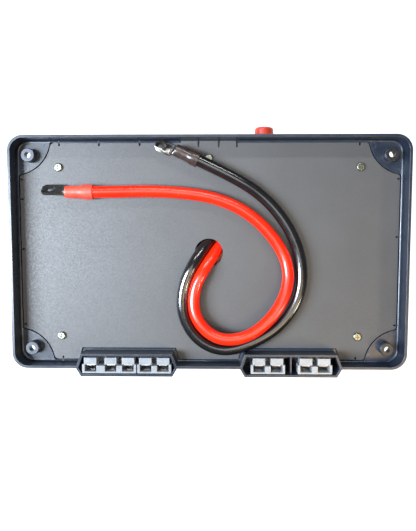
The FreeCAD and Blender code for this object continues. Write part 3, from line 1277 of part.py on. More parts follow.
# ---- build --------------------------------------------------------------------------------
def main():
    os.makedirs("parts", exist_ok=True)
    shell, rim, bays = make_casing()
    save("lid_shell", shell)
    save("lid_rim", rim)
    save("connector_bays", bays)
    save("cover_plate", make_cover_plate())
    save("cover_gasket", make_gasket())
    save("cover_plate_screws", make_plate_screws())
    save("corner_sleeves", make_corner_sleeves())

    save("connector_3pole", make_connector(POLES_3))
    save("connector_2pole_a", make_connector(POLES_2A))
    save("connector_2pole_b", make_connector(POLES_2B))
    save("connector_2pole_c", make_connector(POLES_2C))
    save("connector_contacts", make_contacts())
    save("contact_springs", make_contact_springs())
    save("connector_screws", make_connector_screws())
    save("positive_output_leads", group(output_leads(positive_poles(), POS_BUS_Y)))
    save("negative_output_leads", group(output_leads(negative_poles(), NEG_BUS_Y)))
    save("crimped_lugs", group(make_terminals().Solids + make_inner_lugs().Solids))
    save("positive_busbar", make_busbar(POS_BUS_Y, positive_poles() + (LOAD_BUS_X,)))
    save("negative_busbar", make_busbar(NEG_BUS_Y, negative_poles() + (neg_post()[0],)))
    save("busbar_feet", make_busbar_base())
    save("busbar_studs", make_bus_studs())
    save("stud_nuts", group(make_bus_nuts().Solids + make_heavy_nuts().Solids))
    save("negative_link_bar", make_negative_link())
    save("negative_post", make_negative_post())

    save("main_breaker", make_breaker())
    save("breaker_terminals", make_breaker_terminals())
    save("breaker_bezel_nut", make_bezel_nut())
    save("reset_button", make_reset_button())
    save("reset_button_spring", make_button_spring())

    save("control_panel", make_control_panel())
    save("control_panel_screws", make_panel_screws())
    for number, (x, y) in enumerate(SOCKET_XY, 1):
        save("accessory_socket_%d" % number, make_accessory_socket(x, y))
        save("socket_cover_%d" % number, make_cover(x, y))
    save("socket_liners", make_socket_liners())
    save("socket_centre_contacts", make_centre_contacts())
    save("socket_nuts", make_socket_nuts())
    save("usb_charger", make_usb_charger(*USB_XY))
    save("usb_cover", make_cover(*USB_XY))
    save("cover_hinge_pins", make_hinge_pins())
    save("rocker_housing", make_rocker_housing())
    save("rocker_paddle", make_rocker_paddle())
    save("display_window", make_display_window())
    save("display_module", make_display_module())
    save("fuse_block", make_fuse_block())
    save("blade_fuses", make_blade_fuses())

    save("red_inner_lead", make_inner_lead(-1, red_stud(), EXIT_HEADING))
    save("black_inner_lead", make_inner_lead(1, neg_post(), (0.0, 1.0)))
    save("breaker_load_lead", tube(load_lead_points(), LEAD_R, label="load lead"))
    lower, upper, screws = make_clamp()
    save("cable_clamp_base", lower)
    save("cable_clamp_cap", upper)
    save("cable_clamp_screws", screws)
    save("accessory_wires", small_wires())

    red = cable_points(-1, RED_ROUTE)
    black = cable_points(1, BLACK_ROUTE)
    save("red_battery_cable", tube(red, CABLE_R, label="red cable"))
    save("black_battery_cable", tube(black, CABLE_R, label="black cable"))
    red_heading = (-1.0, 0.0)
    save("red_lug", free_lug(red[-1], red_heading, LUG_ROLL_RED, RED_LUG_SHAPE))
    save("red_lug_sleeve", free_sleeve(red[-1], red_heading, LUG_ROLL_RED, RED_SLEEVE_BEHIND))
    save("black_lug", free_lug(black[-1], BLACK_END_HEADING, LUG_ROLL_BLACK, BLACK_LUG_SHAPE))
    save("black_lug_sleeve", free_sleeve(black[-1], BLACK_END_HEADING, LUG_ROLL_BLACK,
                                         BLACK_SLEEVE_BEHIND))


main()
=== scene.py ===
import math
import bpy
from bpy.props import FloatProperty, FloatVectorProperty, PointerProperty
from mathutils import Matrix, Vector


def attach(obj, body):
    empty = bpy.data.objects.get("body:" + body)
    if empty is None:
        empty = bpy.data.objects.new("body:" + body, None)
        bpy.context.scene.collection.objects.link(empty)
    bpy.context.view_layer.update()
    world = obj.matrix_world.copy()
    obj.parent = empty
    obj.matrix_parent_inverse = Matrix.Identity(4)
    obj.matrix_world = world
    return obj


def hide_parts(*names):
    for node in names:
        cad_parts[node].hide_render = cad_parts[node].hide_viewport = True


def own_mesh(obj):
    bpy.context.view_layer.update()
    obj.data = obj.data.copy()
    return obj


bl_info = {
    "name": "Battery Box Power Hub",
    "version": (1, 0, 0),
    "blender": (4, 5, 0),
    "location": "3D View > Sidebar > Power Hub",
    "description": "Finishes the powered lid of a battery box: casing, plate, connectors and cables",
    "category": "Object",
}

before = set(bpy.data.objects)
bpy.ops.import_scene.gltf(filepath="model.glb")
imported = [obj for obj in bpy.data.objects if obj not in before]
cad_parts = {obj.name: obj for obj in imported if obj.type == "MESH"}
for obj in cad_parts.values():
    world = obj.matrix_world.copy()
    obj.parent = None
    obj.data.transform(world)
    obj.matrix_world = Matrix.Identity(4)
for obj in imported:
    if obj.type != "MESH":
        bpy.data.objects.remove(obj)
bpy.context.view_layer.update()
HUB = "hub"

# heights of the edges that are softened, in millimetres
FLANGE_Z = 60.0
PLATE_TOP_Z = 65.0
BOSS_TOP_Z = 74.0
RIM_TOP_Z = 85.0

SHARP_ANGLE = 35.0                   # degrees between two faces, above which their edge is bevelled
FLAT_ANGLE = 0.4                     # degrees below which two faces become one
MERGE_MM = 0.002


# ---- units and small helpers ----------------------------------------------------------------
def mm(value):
    return value / 1000.0


def linear(hex_text, alpha=1.0):
    """An sRGB hex value such as 2b3440 as a linear colour."""
    parts = [int(hex_text[i:i + 2], 16) / 255.0 for i in (0, 2, 4)]
    return [p / 12.92 if p <= 0.04045 else ((p + 0.055) / 1.055) ** 2.4 for p in parts] + [alpha]


def deselect():
    if bpy.context.mode != "OBJECT":
        bpy.ops.object.mode_set(mode="OBJECT")
    bpy.ops.object.select_all(action="DESELECT")


def make_active(piece):
    deselect()
    piece.select_set(True)
    bpy.context.view_layer.objects.active = piece


def apply_modifiers(piece):
    make_active(piece)
    for modifier in list(piece.modifiers):
        bpy.ops.object.modifier_apply(modifier=modifier.name)


def finish_piece(piece, body, material, replaced=()):
    """Gives a piece its one material, its body and the CAD nodes that it stands for."""
    piece.data.materials.clear()
    piece.data.materials.append(material)
    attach(piece, body)
    if replaced:
        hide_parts(*replaced)
    return piece


# ---- materials ------------------------------------------------------------------------------
def add_node(tree, kind, inputs=None, **settings):
    """Adds a node, sets its settings, and sets or links its inputs."""
    node = tree.nodes.new(kind)
    for name, value in settings.items():
        setattr(node, name, value)
    for key, value in (inputs or {}).items():
        socket = node.inputs[key]
        if isinstance(value, bpy.types.NodeSocket):
            tree.links.new(value, socket)
        else:
            socket.default_value = value
    return node


def new_material(name):
    """A material with its shader joined to its output; returns material, tree, shader and place."""
    material = bpy.data.materials.new(name)
    material.use_nodes = True
    tree = material.node_tree
    tree.nodes.clear()
    shader = add_node(tree, "ShaderNodeBsdfPrincipled")
    add_node(tree, "ShaderNodeOutputMaterial", {"Surface": shader.outputs["BSDF"]})
    place = add_node(tree, "ShaderNodeTexCoord").outputs["Object"]
    return material, tree, shader, place


def two_tones(tree, shader, place, tones, patch_mm, detail=3.0):
    """Base colour that drifts between two tones in patches of the given size."""
    cloud = add_node(tree, "ShaderNodeTexNoise",
                     {"Vector": place, "Scale": 1000.0 / patch_mm, "Detail": detail, "Roughness": 0.6})
    ramp = add_node(tree, "ShaderNodeValToRGB", {"Fac": cloud.outputs["Fac"]})
    ramp.color_ramp.elements[0].position = 0.3
    ramp.color_ramp.elements[1].position = 0.7
    ramp.color_ramp.elements[0].color = linear(tones[0])
    ramp.color_ramp.elements[1].color = linear(tones[1])
    tree.links.new(ramp.outputs["Color"], shader.inputs["Base Color"])
    return ramp


def uneven_gloss(tree, shader, place, low, high, patch_mm, stretch=(1.0, 1.0, 1.0)):
    """Roughness that varies between two values, as handling and polishing leave it."""
    spread = add_node(tree, "ShaderNodeMapping", {"Vector": place, "Scale": stretch})
    smear = add_node(tree, "ShaderNodeTexNoise",
                     {"Vector": spread.outputs["Vector"], "Scale": 1000.0 / patch_mm, "Detail": 4.0})
    rough = add_node(tree, "ShaderNodeMapRange",
                     {"Value": smear.outputs["Fac"], "From Min": 0.3, "From Max": 0.7,
                      "To Min": low, "To Max": high})
    tree.links.new(rough.outputs["Result"], shader.inputs["Roughness"])


def grain(tree, shader, place, grain_mm, depth_mm, stretch=(1.0, 1.0, 1.0), detail=2.0, under=None):
    """Surface relief of the given size and depth."""
    spread = add_node(tree, "ShaderNodeMapping", {"Vector": place, "Scale": stretch})
    pits = add_node(tree, "ShaderNodeTexNoise",
                    {"Vector": spread.outputs["Vector"], "Scale": 1000.0 / grain_mm, "Detail": detail})
    inputs = {"Height": pits.outputs["Fac"], "Distance": mm(depth_mm), "Strength": 1.0}
    if under is not None:
        inputs["Normal"] = under.outputs["Normal"]
    bump = add_node(tree, "ShaderNodeBump", inputs)
    tree.links.new(bump.outputs["Normal"], shader.inputs["Normal"])
    return bump


def edge_wear_and_highlight(tree, shader, ramp, edge_mm, tone, strength):
    """Lightens the colour along sharp edges, convex and concave: partly rubbed plastic, partly a painted
    highlight of edges catching the light.
    """
    rounded = add_node(tree, "ShaderNodeBevel", {"Radius": mm(edge_mm)}, samples=4)
    facing = add_node(tree, "ShaderNodeNewGeometry")
    dot = add_node(tree, "ShaderNodeVectorMath",
                   {0: rounded.outputs["Normal"], 1: facing.outputs["True Normal"]}, operation="DOT_PRODUCT")
    edge = add_node(tree, "ShaderNodeMapRange",
                    {"Value": dot.outputs["Value"], "From Min": 0.99, "From Max": 0.80,
                     "To Min": 0.0, "To Max": strength})
    mix = add_node(tree, "ShaderNodeMix",
                   {"Factor": edge.outputs["Result"], 6: ramp.outputs["Color"], 7: linear(tone)},
                   data_type="RGBA")
    tree.links.new(mix.outputs[2], shader.inputs["Base Color"])


def moulded_abs_slate():
    # ABS, injection moulded with a fine spark-eroded texture: dark slate blue, half gloss, pale edges that
    # are partly rubbed wear and partly a painted highlight
    material, tree, shader, place = new_material("moulded_abs_slate")
    ramp = two_tones(tree, shader, place, ("131a25", "1f2836"), 7.0)
    # pale blue-grey painted along every sharp edge: partly rubbed wear, partly painted highlight
    edge_wear_and_highlight(tree, shader, ramp, 0.9, "566170", 0.5)
    uneven_gloss(tree, shader, place, 0.26, 0.38, 18.0)
    # the real texture is about 0.2 mm; it is drawn at 0.8 mm so that it shows
    grain(tree, shader, place, 0.8, 0.012)
    shader.inputs["IOR"].default_value = 1.54
    return material


def textured_abs_sheet():
    # ABS sheet with an embossed leather grain: mid grey, broad soft glare, small dark pits
    material, tree, shader, place = new_material("textured_abs_sheet")
    ramp = two_tones(tree, shader, place, ("29292b", "303133"), 60.0, detail=6.0)
    # paler grey painted along the plate's sharp edges: partly rubbed wear, partly painted highlight
    edge_wear_and_highlight(tree, shader, ramp, 0.5, "6d7178", 0.4)
    uneven_gloss(tree, shader, place, 0.50, 0.66, 1.7)
    # emboss cells are about 0.5 mm; they are drawn at 1.1 mm so that they show
    grain(tree, shader, place, 1.1, 0.030, detail=3.0)
    shader.inputs["IOR"].default_value = 1.75
    return material


def light_grey_polycarbonate():
    # polycarbonate, moulded in a polished tool: pale grey, glossy, faint flow marks
    material, tree, shader, place = new_material("light_grey_polycarbonate")
    two_tones(tree, shader, place, ("74787d", "868a8f"), 9.0)
    uneven_gloss(tree, shader, place, 0.22, 0.34, 4.0)
    grain(tree, shader, place, 1.2, 0.006)
    shader.inputs["IOR"].default_value = 1.585
    shader.inputs["Subsurface Weight"].default_value = 0.35
    shader.inputs["Subsurface Radius"].default_value = (1.0, 1.0, 1.0)
    shader.inputs["Subsurface Scale"].default_value = mm(6.0)
    return material


def jacket(name, tones, low, high, coat):
    """Extruded cable jacket: glossy, with faint ripples from the twisted strands beneath."""
    material, tree, shader, place = new_material(name)
    two_tones(tree, shader, place, tones, 14.0)
    uneven_gloss(tree, shader, place, low, high, 11.0)
    ripple = grain(tree, shader, place, 9.0, 0.08, detail=1.0)
    grain(tree, shader, place, 0.7, 0.006, under=ripple)
    shader.inputs["IOR"].default_value = 1.53
    shader.inputs["Coat Weight"].default_value = coat
    shader.inputs["Coat Roughness"].default_value = 0.16
    return material


def red_pvc_jacket():
    # soft PVC jacket, extruded: pure bright red, wet-looking gloss, a little light inside
    return jacket("red_pvc_jacket", ("e21c04", "ee2607"), 0.20, 0.28, 0.0)


def black_pvc_jacket():
    # soft PVC jacket, extruded: deep black with long sharp highlights
    return jacket("black_pvc_jacket", ("0b0b0c", "141415"), 0.14, 0.24, 0.6)


def shrink_tube(name, tones, low, high):
    """Polyolefin tube shrunk by heat: fine wrinkles round it, uneven half gloss."""
    material, tree, shader, place = new_material(name)
    two_tones(tree, shader, place, tones, 5.0)
    uneven_gloss(tree, shader, place, low, high, 3.0)
    wrinkles = grain(tree, shader, place, 2.6, 0.05, detail=3.0)
    grain(tree, shader, place, 0.5, 0.01, under=wrinkles)
    shader.inputs["IOR"].default_value = 1.5
    return material


def red_shrink_tube():
    # coral-red polyolefin, matt where it was heated
    return shrink_tube("red_shrink_tube", ("d63a2a", "e34a38"), 0.38, 0.52)


def black_shrink_tube():
    # black polyolefin with a brown cast, glossy over the barrel
    return shrink_tube("black_shrink_tube", ("2a211e", "3a2f2b"), 0.20, 0.34)


def metal(name, tones, low, high, patch_mm, scratch_mm, depth_mm, stretch=(1.0, 1.0, 1.0)):
    """A metal with uneven polish and fine marks."""
    material, tree, shader, place = new_material(name)
    two_tones(tree, shader, place, tones, patch_mm)
    uneven_gloss(tree, shader, place, low, high, patch_mm, stretch)
    grain(tree, shader, place, scratch_mm, depth_mm, stretch)
    shader.inputs["Metallic"].default_value = 1.0
    return material


def tinned_copper():
    # electro-tinned copper, stamped: soft grey mirror with darker handling marks
    return metal("tinned_copper", ("7c7b78", "9a9995"), 0.28, 0.40, 3.0, 0.7, 0.004)


def silver_plated_copper():
    # silver over copper, rolled: pale and slightly dull
    return metal("silver_plated_copper", ("a9aaac", "cfd0d2"), 0.26, 0.42, 2.5, 0.6, 0.008, (1.0, 1.0, 0.1))


def zinc_plated_steel():
    # bright zinc with a clear passivation: a faint green-yellow cast
    return metal("zinc_plated_steel", ("6e7168", "94978a"), 0.26, 0.40, 1.5, 0.4, 0.006)


def black_oxide_steel():
    # turned steel, blackened: a dark mirror with short marks from the lathe
    return metal("black_oxide_steel", ("3a3c40", "4a4c52"), 0.34, 0.46, 2.0, 0.35, 0.012)


def spring_steel():
    # cold-rolled spring steel: grey with lines along the strip
    return metal("spring_steel", ("7c7c7c", "9a9a9a"), 0.28, 0.42, 2.0, 0.5, 0.008, (1.0, 1.0, 0.1))


def copper_bar():
    # rolled copper bar: brown-pink, lines along the bar, darker where it has tarnished
    return metal("copper_bar", ("a8613f", "cf8a66"), 0.26, 0.42, 16.0, 0.6, 0.01, (0.08, 1.0, 1.0))


def plastic(name, tones, low, high, grain_mm, depth_mm, ior):
    """A moulded plastic with its own grain."""
    material, tree, shader, place = new_material(name)
    two_tones(tree, shader, place, tones, 12.0)
    uneven_gloss(tree, shader, place, low, high, 6.0)
    grain(tree, shader, place, grain_mm, depth_mm)
    shader.inputs["IOR"].default_value = ior
    return material


def glass_filled_nylon():
    # black nylon with glass fibre: dull, with pale flecks of fibre near the surface
    return plastic("glass_filled_nylon", ("131314", "212123"), 0.42, 0.60, 0.7, 0.02, 1.53)


def textured_black_abs():
    # ABS with a matt spark-eroded texture
    return plastic("textured_black_abs", ("101112", "18191b"), 0.40, 0.52, 0.9, 0.03, 1.54)


def polished_black_nylon():
    # nylon from a polished tool
    return plastic("polished_black_nylon", ("0c0c0e", "161618"), 0.16, 0.28, 1.5, 0.006, 1.53)


def red_button_abs():
    # ABS, moulded: coral red, satin, with a softly worn face
    return plastic("red_button_abs", ("9c2411", "b2341c"), 0.28, 0.42, 0.9, 0.01, 1.54)


def foam_rubber():
    # closed-cell rubber strip: matt black with open cells of about half a millimetre
    return plastic("foam_rubber", ("0e0e0e", "1a1a1a"), 0.80, 0.95, 0.6, 0.10, 1.5)


def amber_polycarbonate():
    # tinted fuse body: amber, glossy
    return plastic("amber_polycarbonate", ("c98a1a", "dba02c"), 0.16, 0.26, 1.5, 0.005, 1.585)


def epoxy_board():
    # glass-epoxy circuit board: green lacquer over a woven base
    return plastic("epoxy_board", ("0f4a2a", "1a5f38"), 0.28, 0.40, 0.6, 0.012, 1.55)


def smoked_acrylic():
    # tinted acrylic, polished: dark and clear
    material, tree, shader, place = new_material("smoked_acrylic")
    two_tones(tree, shader, place, ("15181b", "1b1f23"), 20.0)
    uneven_gloss(tree, shader, place, 0.04, 0.10, 12.0)
    shader.inputs["IOR"].default_value = 1.49
    shader.inputs["Transmission Weight"].default_value = 0.35
    return material


MATERIALS = {}


def material(maker):
    """Each material is made once, when the first piece needs it."""
    if maker.__name__ not in MATERIALS:
        MATERIALS[maker.__name__] = maker()
    return MATERIALS[maker.__name__]


# ---- shaping --------------------------------------------------------------------------------
def merge_flat_faces():
    """Merges the active piece's loose triangles, and makes one face of those in one plane."""
    bpy.ops.object.mode_set(mode="EDIT")
    bpy.ops.mesh.select_all(action="SELECT")
    bpy.ops.mesh.remove_doubles(threshold=mm(MERGE_MM))
    bpy.ops.mesh.dissolve_limited(angle_limit=math.radians(FLAT_ANGLE))
    bpy.ops.object.mode_set(mode="OBJECT")


def joined_copy(node, name):
    """A copy of a CAD node whose loose triangles are merged into whole faces."""
    piece = bpy.data.objects.new(name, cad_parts[node].data.copy())
    bpy.context.scene.collection.objects.link(piece)
    make_active(piece)
    merge_flat_faces()
    return piece


def weld(piece, other):
    """Joins another closed piece to this one without a wall between them."""
    union = piece.modifiers.new("weld", "BOOLEAN")
    union.operation = "UNION"
    union.solver = "EXACT"
    union.object = other
    apply_modifiers(piece)
    bpy.data.objects.remove(other, do_unlink=True)
    merge_flat_faces()


def soften_edges(piece, width_mm, segments, chosen=None):
    """Bevels the sharp edges of a piece, all of them or those that chosen(a, b) picks."""
    make_active(piece)
    bpy.ops.object.mode_set(mode="EDIT")
    bpy.ops.mesh.select_mode(type="EDGE")
    bpy.ops.mesh.select_all(action="DESELECT")
    bpy.ops.mesh.edges_select_sharp(sharpness=math.radians(SHARP_ANGLE))
    bpy.ops.object.mode_set(mode="OBJECT")
    if chosen is not None:
        points = piece.data.vertices
        for face in piece.data.polygons:
            face.select = False
        for edge in piece.data.edges:
            a, b = (points[i].co for i in edge.vertices)
            edge.select = edge.select and chosen(a, b)
    bpy.ops.object.mode_set(mode="EDIT")
    bpy.ops.mesh.bevel(offset=mm(width_mm), segments=segments, profile=0.5, clamp_overlap=True)
    bpy.ops.object.mode_set(mode="OBJECT")


def smooth(piece, angle=34.0):
    """Smooth shading below the angle; large faces keep their own flat direction."""
    make_active(piece)
    bpy.ops.object.shade_smooth_by_angle(angle=math.radians(angle))
    flat = piece.modifiers.new("flat_faces", "WEIGHTED_NORMAL")
    flat.mode = "FACE_AREA"
    flat.weight = 100
    flat.keep_sharp = True
    apply_modifiers(piece)


def at_height(z_mm, tolerance_mm=0.05):
    return lambda a, b: abs(a.z - mm(z_mm)) < mm(tolerance_mm) and abs(b.z - mm(z_mm)) < mm(tolerance_mm)


# ---- settings -------------------------------------------------------------------------------
class HubSizes(bpy.types.PropertyGroup):
    cable_diameter: FloatProperty(name="Cable diameter", description="Outside of the jacket",
                                  default=mm(13.0), unit="LENGTH")
    rim_edge: FloatProperty(name="Rim edge", description="Rounding of the rim, in millimetres",
                            default=0.8, min=0.0)
    small_edge: FloatProperty(name="Small edge", description="Rounding of small mouldings, in millimetres",
                              default=0.35, min=0.0)
    floor_half: FloatProperty(name="Floor", description="Half the side of the floor", default=3.0,
                              unit="LENGTH")
    window_colour: FloatVectorProperty(name="Window light", description="Colour of the large light",
                                       default=(0.78, 0.88, 1.0), subtype="COLOR")


CAMERA_PLACE = (0.00956, 0.02876, 0.63515)
CAMERA_TURN = (-4.308, 1.048, 0.013)  # degrees
CAMERA_TALL_ANGLE = 54.24            # degrees from the bottom of the view to its top


class HUB_OT_camera(bpy.types.Operator):
    """Adds the camera that looks down into the open side"""
    bl_idname = "hub.camera"
    bl_label = "Camera"

    def execute(self, context):
        deselect()
        bpy.ops.object.camera_add(location=CAMERA_PLACE, rotation=[math.radians(a) for a in CAMERA_TURN])
        camera = context.object
        camera.name = "camera"
        camera.data.sensor_fit = "VERTICAL"
        camera.data.angle = math.radians(CAMERA_TALL_ANGLE)
        camera.data.clip_start = mm(10.0)
        context.scene.camera = camera
        return {"FINISHED"}


# ---- battery cables -------------------------------------------------------------------------
# Control points of each cable's own line, from its start under the plate to its lug, in metres.
RED_ROUTE = (
    (0.01220, 0.00705, 0.05520), (-0.00354, -0.01449, 0.07460),
    (-0.0173, -0.0420, 0.0738), (-0.0150, -0.0725, 0.0764), (0.0080, -0.0940, 0.0796),
    (0.0385, -0.0932, 0.0803), (0.0645, -0.0752, 0.0803), (0.0835, -0.0475, 0.0780),
    (0.0880, -0.0150, 0.0734), (0.0715, 0.0165, 0.0717), (0.0430, 0.0440, 0.0717),
    (0.0085, 0.0595, 0.0717), (-0.0290, 0.0652, 0.0720), (-0.0660, 0.0668, 0.0726),
    (-0.0980, 0.0660, 0.0734), (-0.1335, 0.0658, 0.0734),
)
BLACK_ROUTE = (
    (0.00140, 0.01496, 0.05520), (-0.01435, -0.00659, 0.07460),
    (-0.0286, -0.0365, 0.0720), (-0.0295, -0.0685, 0.0717), (-0.0125, -0.0970, 0.0717),
    (0.0165, -0.1094, 0.0717), (0.0503, -0.0987, 0.0717), (0.0805, -0.0790, 0.0717),
    (0.1005, -0.0465, 0.0717), (0.1015, -0.0080, 0.0717), (0.0870, 0.0285, 0.0717),
    (0.0610, 0.0600, 0.0717), (0.0265, 0.0822, 0.0748), (-0.0163, 0.1015, 0.0748),
)
RED_LENGTH = 0.502
BLACK_LENGTH = 0.471
RED_HEADING = (-1.0, 0.0)
BLACK_HEADING = (-0.911, 0.411)


def cable_curve(name, route, diameter):
    curve = bpy.data.curves.new(name, "CURVE")
    curve.dimensions = "3D"
    curve.resolution_u = 10
    curve.bevel_depth = diameter / 2
    curve.bevel_resolution = 9
    curve.use_fill_caps = True
    line = curve.splines.new("NURBS")
    line.points.add(len(route) - 1)
    for point, place in zip(line.points, route):
        point.co = (*place, 1.0)
    line.order_u = 3
    line.use_endpoint_u = True
    piece = bpy.data.objects.new(name, curve)
    bpy.context.scene.collection.objects.link(piece)
    return piece


class HUB_OT_battery_cables(bpy.types.Operator):
    """Lays the red and the black battery cable along their routes"""
    bl_idname = "hub.battery_cables"
    bl_label = "Battery Cables"

    def execute(self, context):
        diameter = context.scene.hub_sizes.cable_diameter
        red = cable_curve("red_cable", RED_ROUTE, diameter)
        finish_piece(red, HUB, material(red_pvc_jacket), ["red_battery_cable"])
        black = cable_curve("black_cable", BLACK_ROUTE, diameter)
        finish_piece(black, HUB, material(black_pvc_jacket), ["black_battery_cable"])
        return {"FINISHED"}


# ---- lugs and their sleeves -----------------------------------------------------------------
def sleeve_rings(behind):
    """Rings of a shrunk sleeve along +X from the cable's end: place and radius in millimetres."""
    return ((-behind, 6.75), (-behind, 7.65), (0.4 - behind, 7.95), (2.5 - behind, 7.95), (-1.0, 7.9),
            (1.5, 7.85), (3.2, 7.6), (5.5, 7.05), (7.5, 6.85), (10.0, 6.8), (13.0, 6.75), (16.0, 6.7),
            (18.5, 6.68), (20.4, 6.6), (20.9, 6.45), (21.0, 6.05))


RED_ROLL = 48.0                      # degrees that a lug is turned about its cable
BLACK_ROLL = 38.0
RED_BEHIND = 9.0                     # sleeve on the jacket, behind the cable's end, in millimetres
BLACK_BEHIND = 6.0
SLEEVE_AROUND = 56


def tube_along_x(name, rings, around):
    """A circle extruded from ring to ring; each ring is its place along X and its radius."""
    deselect()
    x, radius = rings[0]
    bpy.ops.mesh.primitive_circle_add(vertices=around, radius=mm(radius), fill_type="NOTHING",
                                      location=(mm(x), 0, 0), rotation=(0, math.pi / 2, 0))
    piece = bpy.context.object
    piece.name = name
    bpy.ops.object.transform_apply(location=True, rotation=True, scale=True)
    bpy.ops.object.mode_set(mode="EDIT")
    bpy.ops.mesh.select_all(action="SELECT")
    for next_x, next_radius in rings[1:]:
        bpy.ops.mesh.extrude_region_move(TRANSFORM_OT_translate={"value": (mm(next_x - x), 0, 0)})
        grow = next_radius / radius
        bpy.ops.transform.resize(value=(1.0, grow, grow), center_override=(mm(next_x), 0, 0))
        x, radius = next_x, next_radius
    bpy.ops.mesh.select_all(action="SELECT")
    bpy.ops.mesh.remove_doubles(threshold=mm(0.001))
    bpy.ops.mesh.normals_make_consistent(inside=False)
    bpy.ops.object.mode_set(mode="OBJECT")
    return piece


def place_on_cable(piece, end, heading, roll):
    """Turns a piece drawn along +X so that it sits on a cable's end."""
    piece.rotation_euler = (math.radians(roll), 0, math.atan2(heading[1], heading[0]))
    piece.location = end
    make_active(piece)
    bpy.ops.object.transform_apply(location=True, rotation=True, scale=True)


def wrinkle(piece, strength_mm, size_mm):
    """Small swells, as heat leaves them."""
    texture = bpy.data.textures.new(piece.name + "_swells", "CLOUDS")
    texture.noise_scale = mm(size_mm)
    push = piece.modifiers.new("swells", "DISPLACE")
    push.texture = texture
    push.texture_coords = "LOCAL"
    push.strength = mm(strength_mm)
    apply_modifiers(piece)


def shrink_sleeve(name, end, heading, roll, behind):
    piece = tube_along_x(name, sleeve_rings(behind), SLEEVE_AROUND)
    divide = piece.modifiers.new("divide", "SUBSURF")
    divide.levels = 1
    divide.render_levels = 1
    apply_modifiers(piece)
    wrinkle(piece, 0.22, 5.0)
    place_on_cable(piece, end, heading, roll)
    smooth(piece, 60.0)
    return piece


class HUB_OT_cable_ends(bpy.types.Operator):
    """Makes the ring lugs and their shrunk sleeves"""
    bl_idname = "hub.cable_ends"
    bl_label = "Cable Ends"

    def execute(self, context):
        for colour, route, heading, roll, behind, length, shrink in (
                ("red", RED_ROUTE, RED_HEADING, RED_ROLL, RED_BEHIND, RED_LENGTH, red_shrink_tube),
                ("black", BLACK_ROUTE, BLACK_HEADING, BLACK_ROLL, BLACK_BEHIND, BLACK_LENGTH,
                 black_shrink_tube)):
            sleeve = shrink_sleeve(colour + "_sleeve", route[-1], heading, roll, behind)
            finish_piece(sleeve, HUB, material(shrink), [colour + "_lug_sleeve"])
            lug = joined_copy(colour + "_lug", colour + "_ring_lug")
            soften_edges(lug, 0.4, 3)
            smooth(lug)
            finish_piece(lug, HUB, material(tinned_copper), [colour + "_lug"])
        return {"FINISHED"}


# ---- casing and plate -----------------------------------------------------------------------
class HUB_OT_casing(bpy.types.Operator):
    """Finishes the casing: rounded rim, softened ledge, bosses and pods"""
    bl_idname = "hub.casing"
    bl_label = "Casing"

    def execute(self, context):
        sizes = context.scene.hub_sizes
        casing = joined_copy("lid_rim", "casing")
        weld(casing, joined_copy("connector_bays", "bays"))
        weld(casing, joined_copy("lid_shell", "shell"))
        soften_edges(casing, sizes.rim_edge, 4, at_height(RIM_TOP_Z))
        soften_edges(casing, 0.6, 3, at_height(FLANGE_Z))
        soften_edges(casing, 0.5, 2, at_height(BOSS_TOP_Z))
        soften_edges(casing, sizes.small_edge, 2)
        smooth(casing, 30.0)
        finish_piece(casing, HUB, material(moulded_abs_slate),
                     ["lid_shell", "lid_rim", "connector_bays"])
        return {"FINISHED"}


# Screws and bushes beside the plate: node, piece name, slot, material.
PLATE_FITTINGS = (
    ("cover_plate_screws", "plate_screws", "screw_steel", zinc_plated_steel),
    ("corner_sleeves", "corner_bushes", "sleeve_metal", black_oxide_steel),
)


class HUB_OT_cover_plate(bpy.types.Operator):
    """Finishes the textured plate, its screws and the corner sleeves"""
    bl_idname = "hub.cover_plate"
    bl_label = "Cover Plate"

    def execute(self, context):
        plate = joined_copy("cover_plate", "plate")
        soften_edges(plate, 0.3, 2, at_height(PLATE_TOP_Z))
        smooth(plate, 30.0)
        finish_piece(plate, HUB, material(textured_abs_sheet), ["cover_plate"])
        for node, name, slot, maker in PLATE_FITTINGS:
            piece = joined_copy(node, name)
            soften_edges(piece, 0.15, 2)
            smooth(piece)
            finish_piece(piece, HUB, material(maker), [node])
        return {"FINISHED"}


class HUB_OT_connectors(bpy.types.Operator):
    """Finishes the connector housings and their contacts"""
    bl_idname = "hub.connectors"
    bl_label = "Connectors"

    def execute(self, context):
        for node in ("connector_3pole", "connector_2pole_a", "connector_2pole_b", "connector_2pole_c"):
            housing = joined_copy(node, node + "_housing")
            soften_edges(housing, context.scene.hub_sizes.small_edge, 3)
            smooth(housing, 40.0)
            finish_piece(housing, HUB, material(light_grey_polycarbonate), [node])
        blades = joined_copy("connector_contacts", "contact_blades")
        smooth(blades)
        finish_piece(blades, HUB, material(silver_plated_copper), ["connector_contacts"])
        return {"FINISHED"}


class HUB_OT_breaker_button(bpy.types.Operator):
    """Finishes the red reset button, its spring and the ring nut round it"""
    bl_idname = "hub.breaker_button"
    bl_label = "Breaker Button"

    def execute(self, context):
        button = joined_copy("reset_button", "red_button")
        smooth(button, 50.0)
        finish_piece(button, "reset_button", material(red_button_abs), ["reset_button"])
        spring = joined_copy("reset_button_spring", "button_spring")
        smooth(spring, 60.0)
        finish_piece(spring, HUB, material(spring_steel), ["reset_button_spring"])
        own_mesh(spring)
        ring = joined_copy("breaker_bezel_nut", "button_ring_nut")
        smooth(ring)
        finish_piece(ring, HUB, material(polished_black_nylon), ["breaker_bezel_nut"])
        return {"FINISHED"}


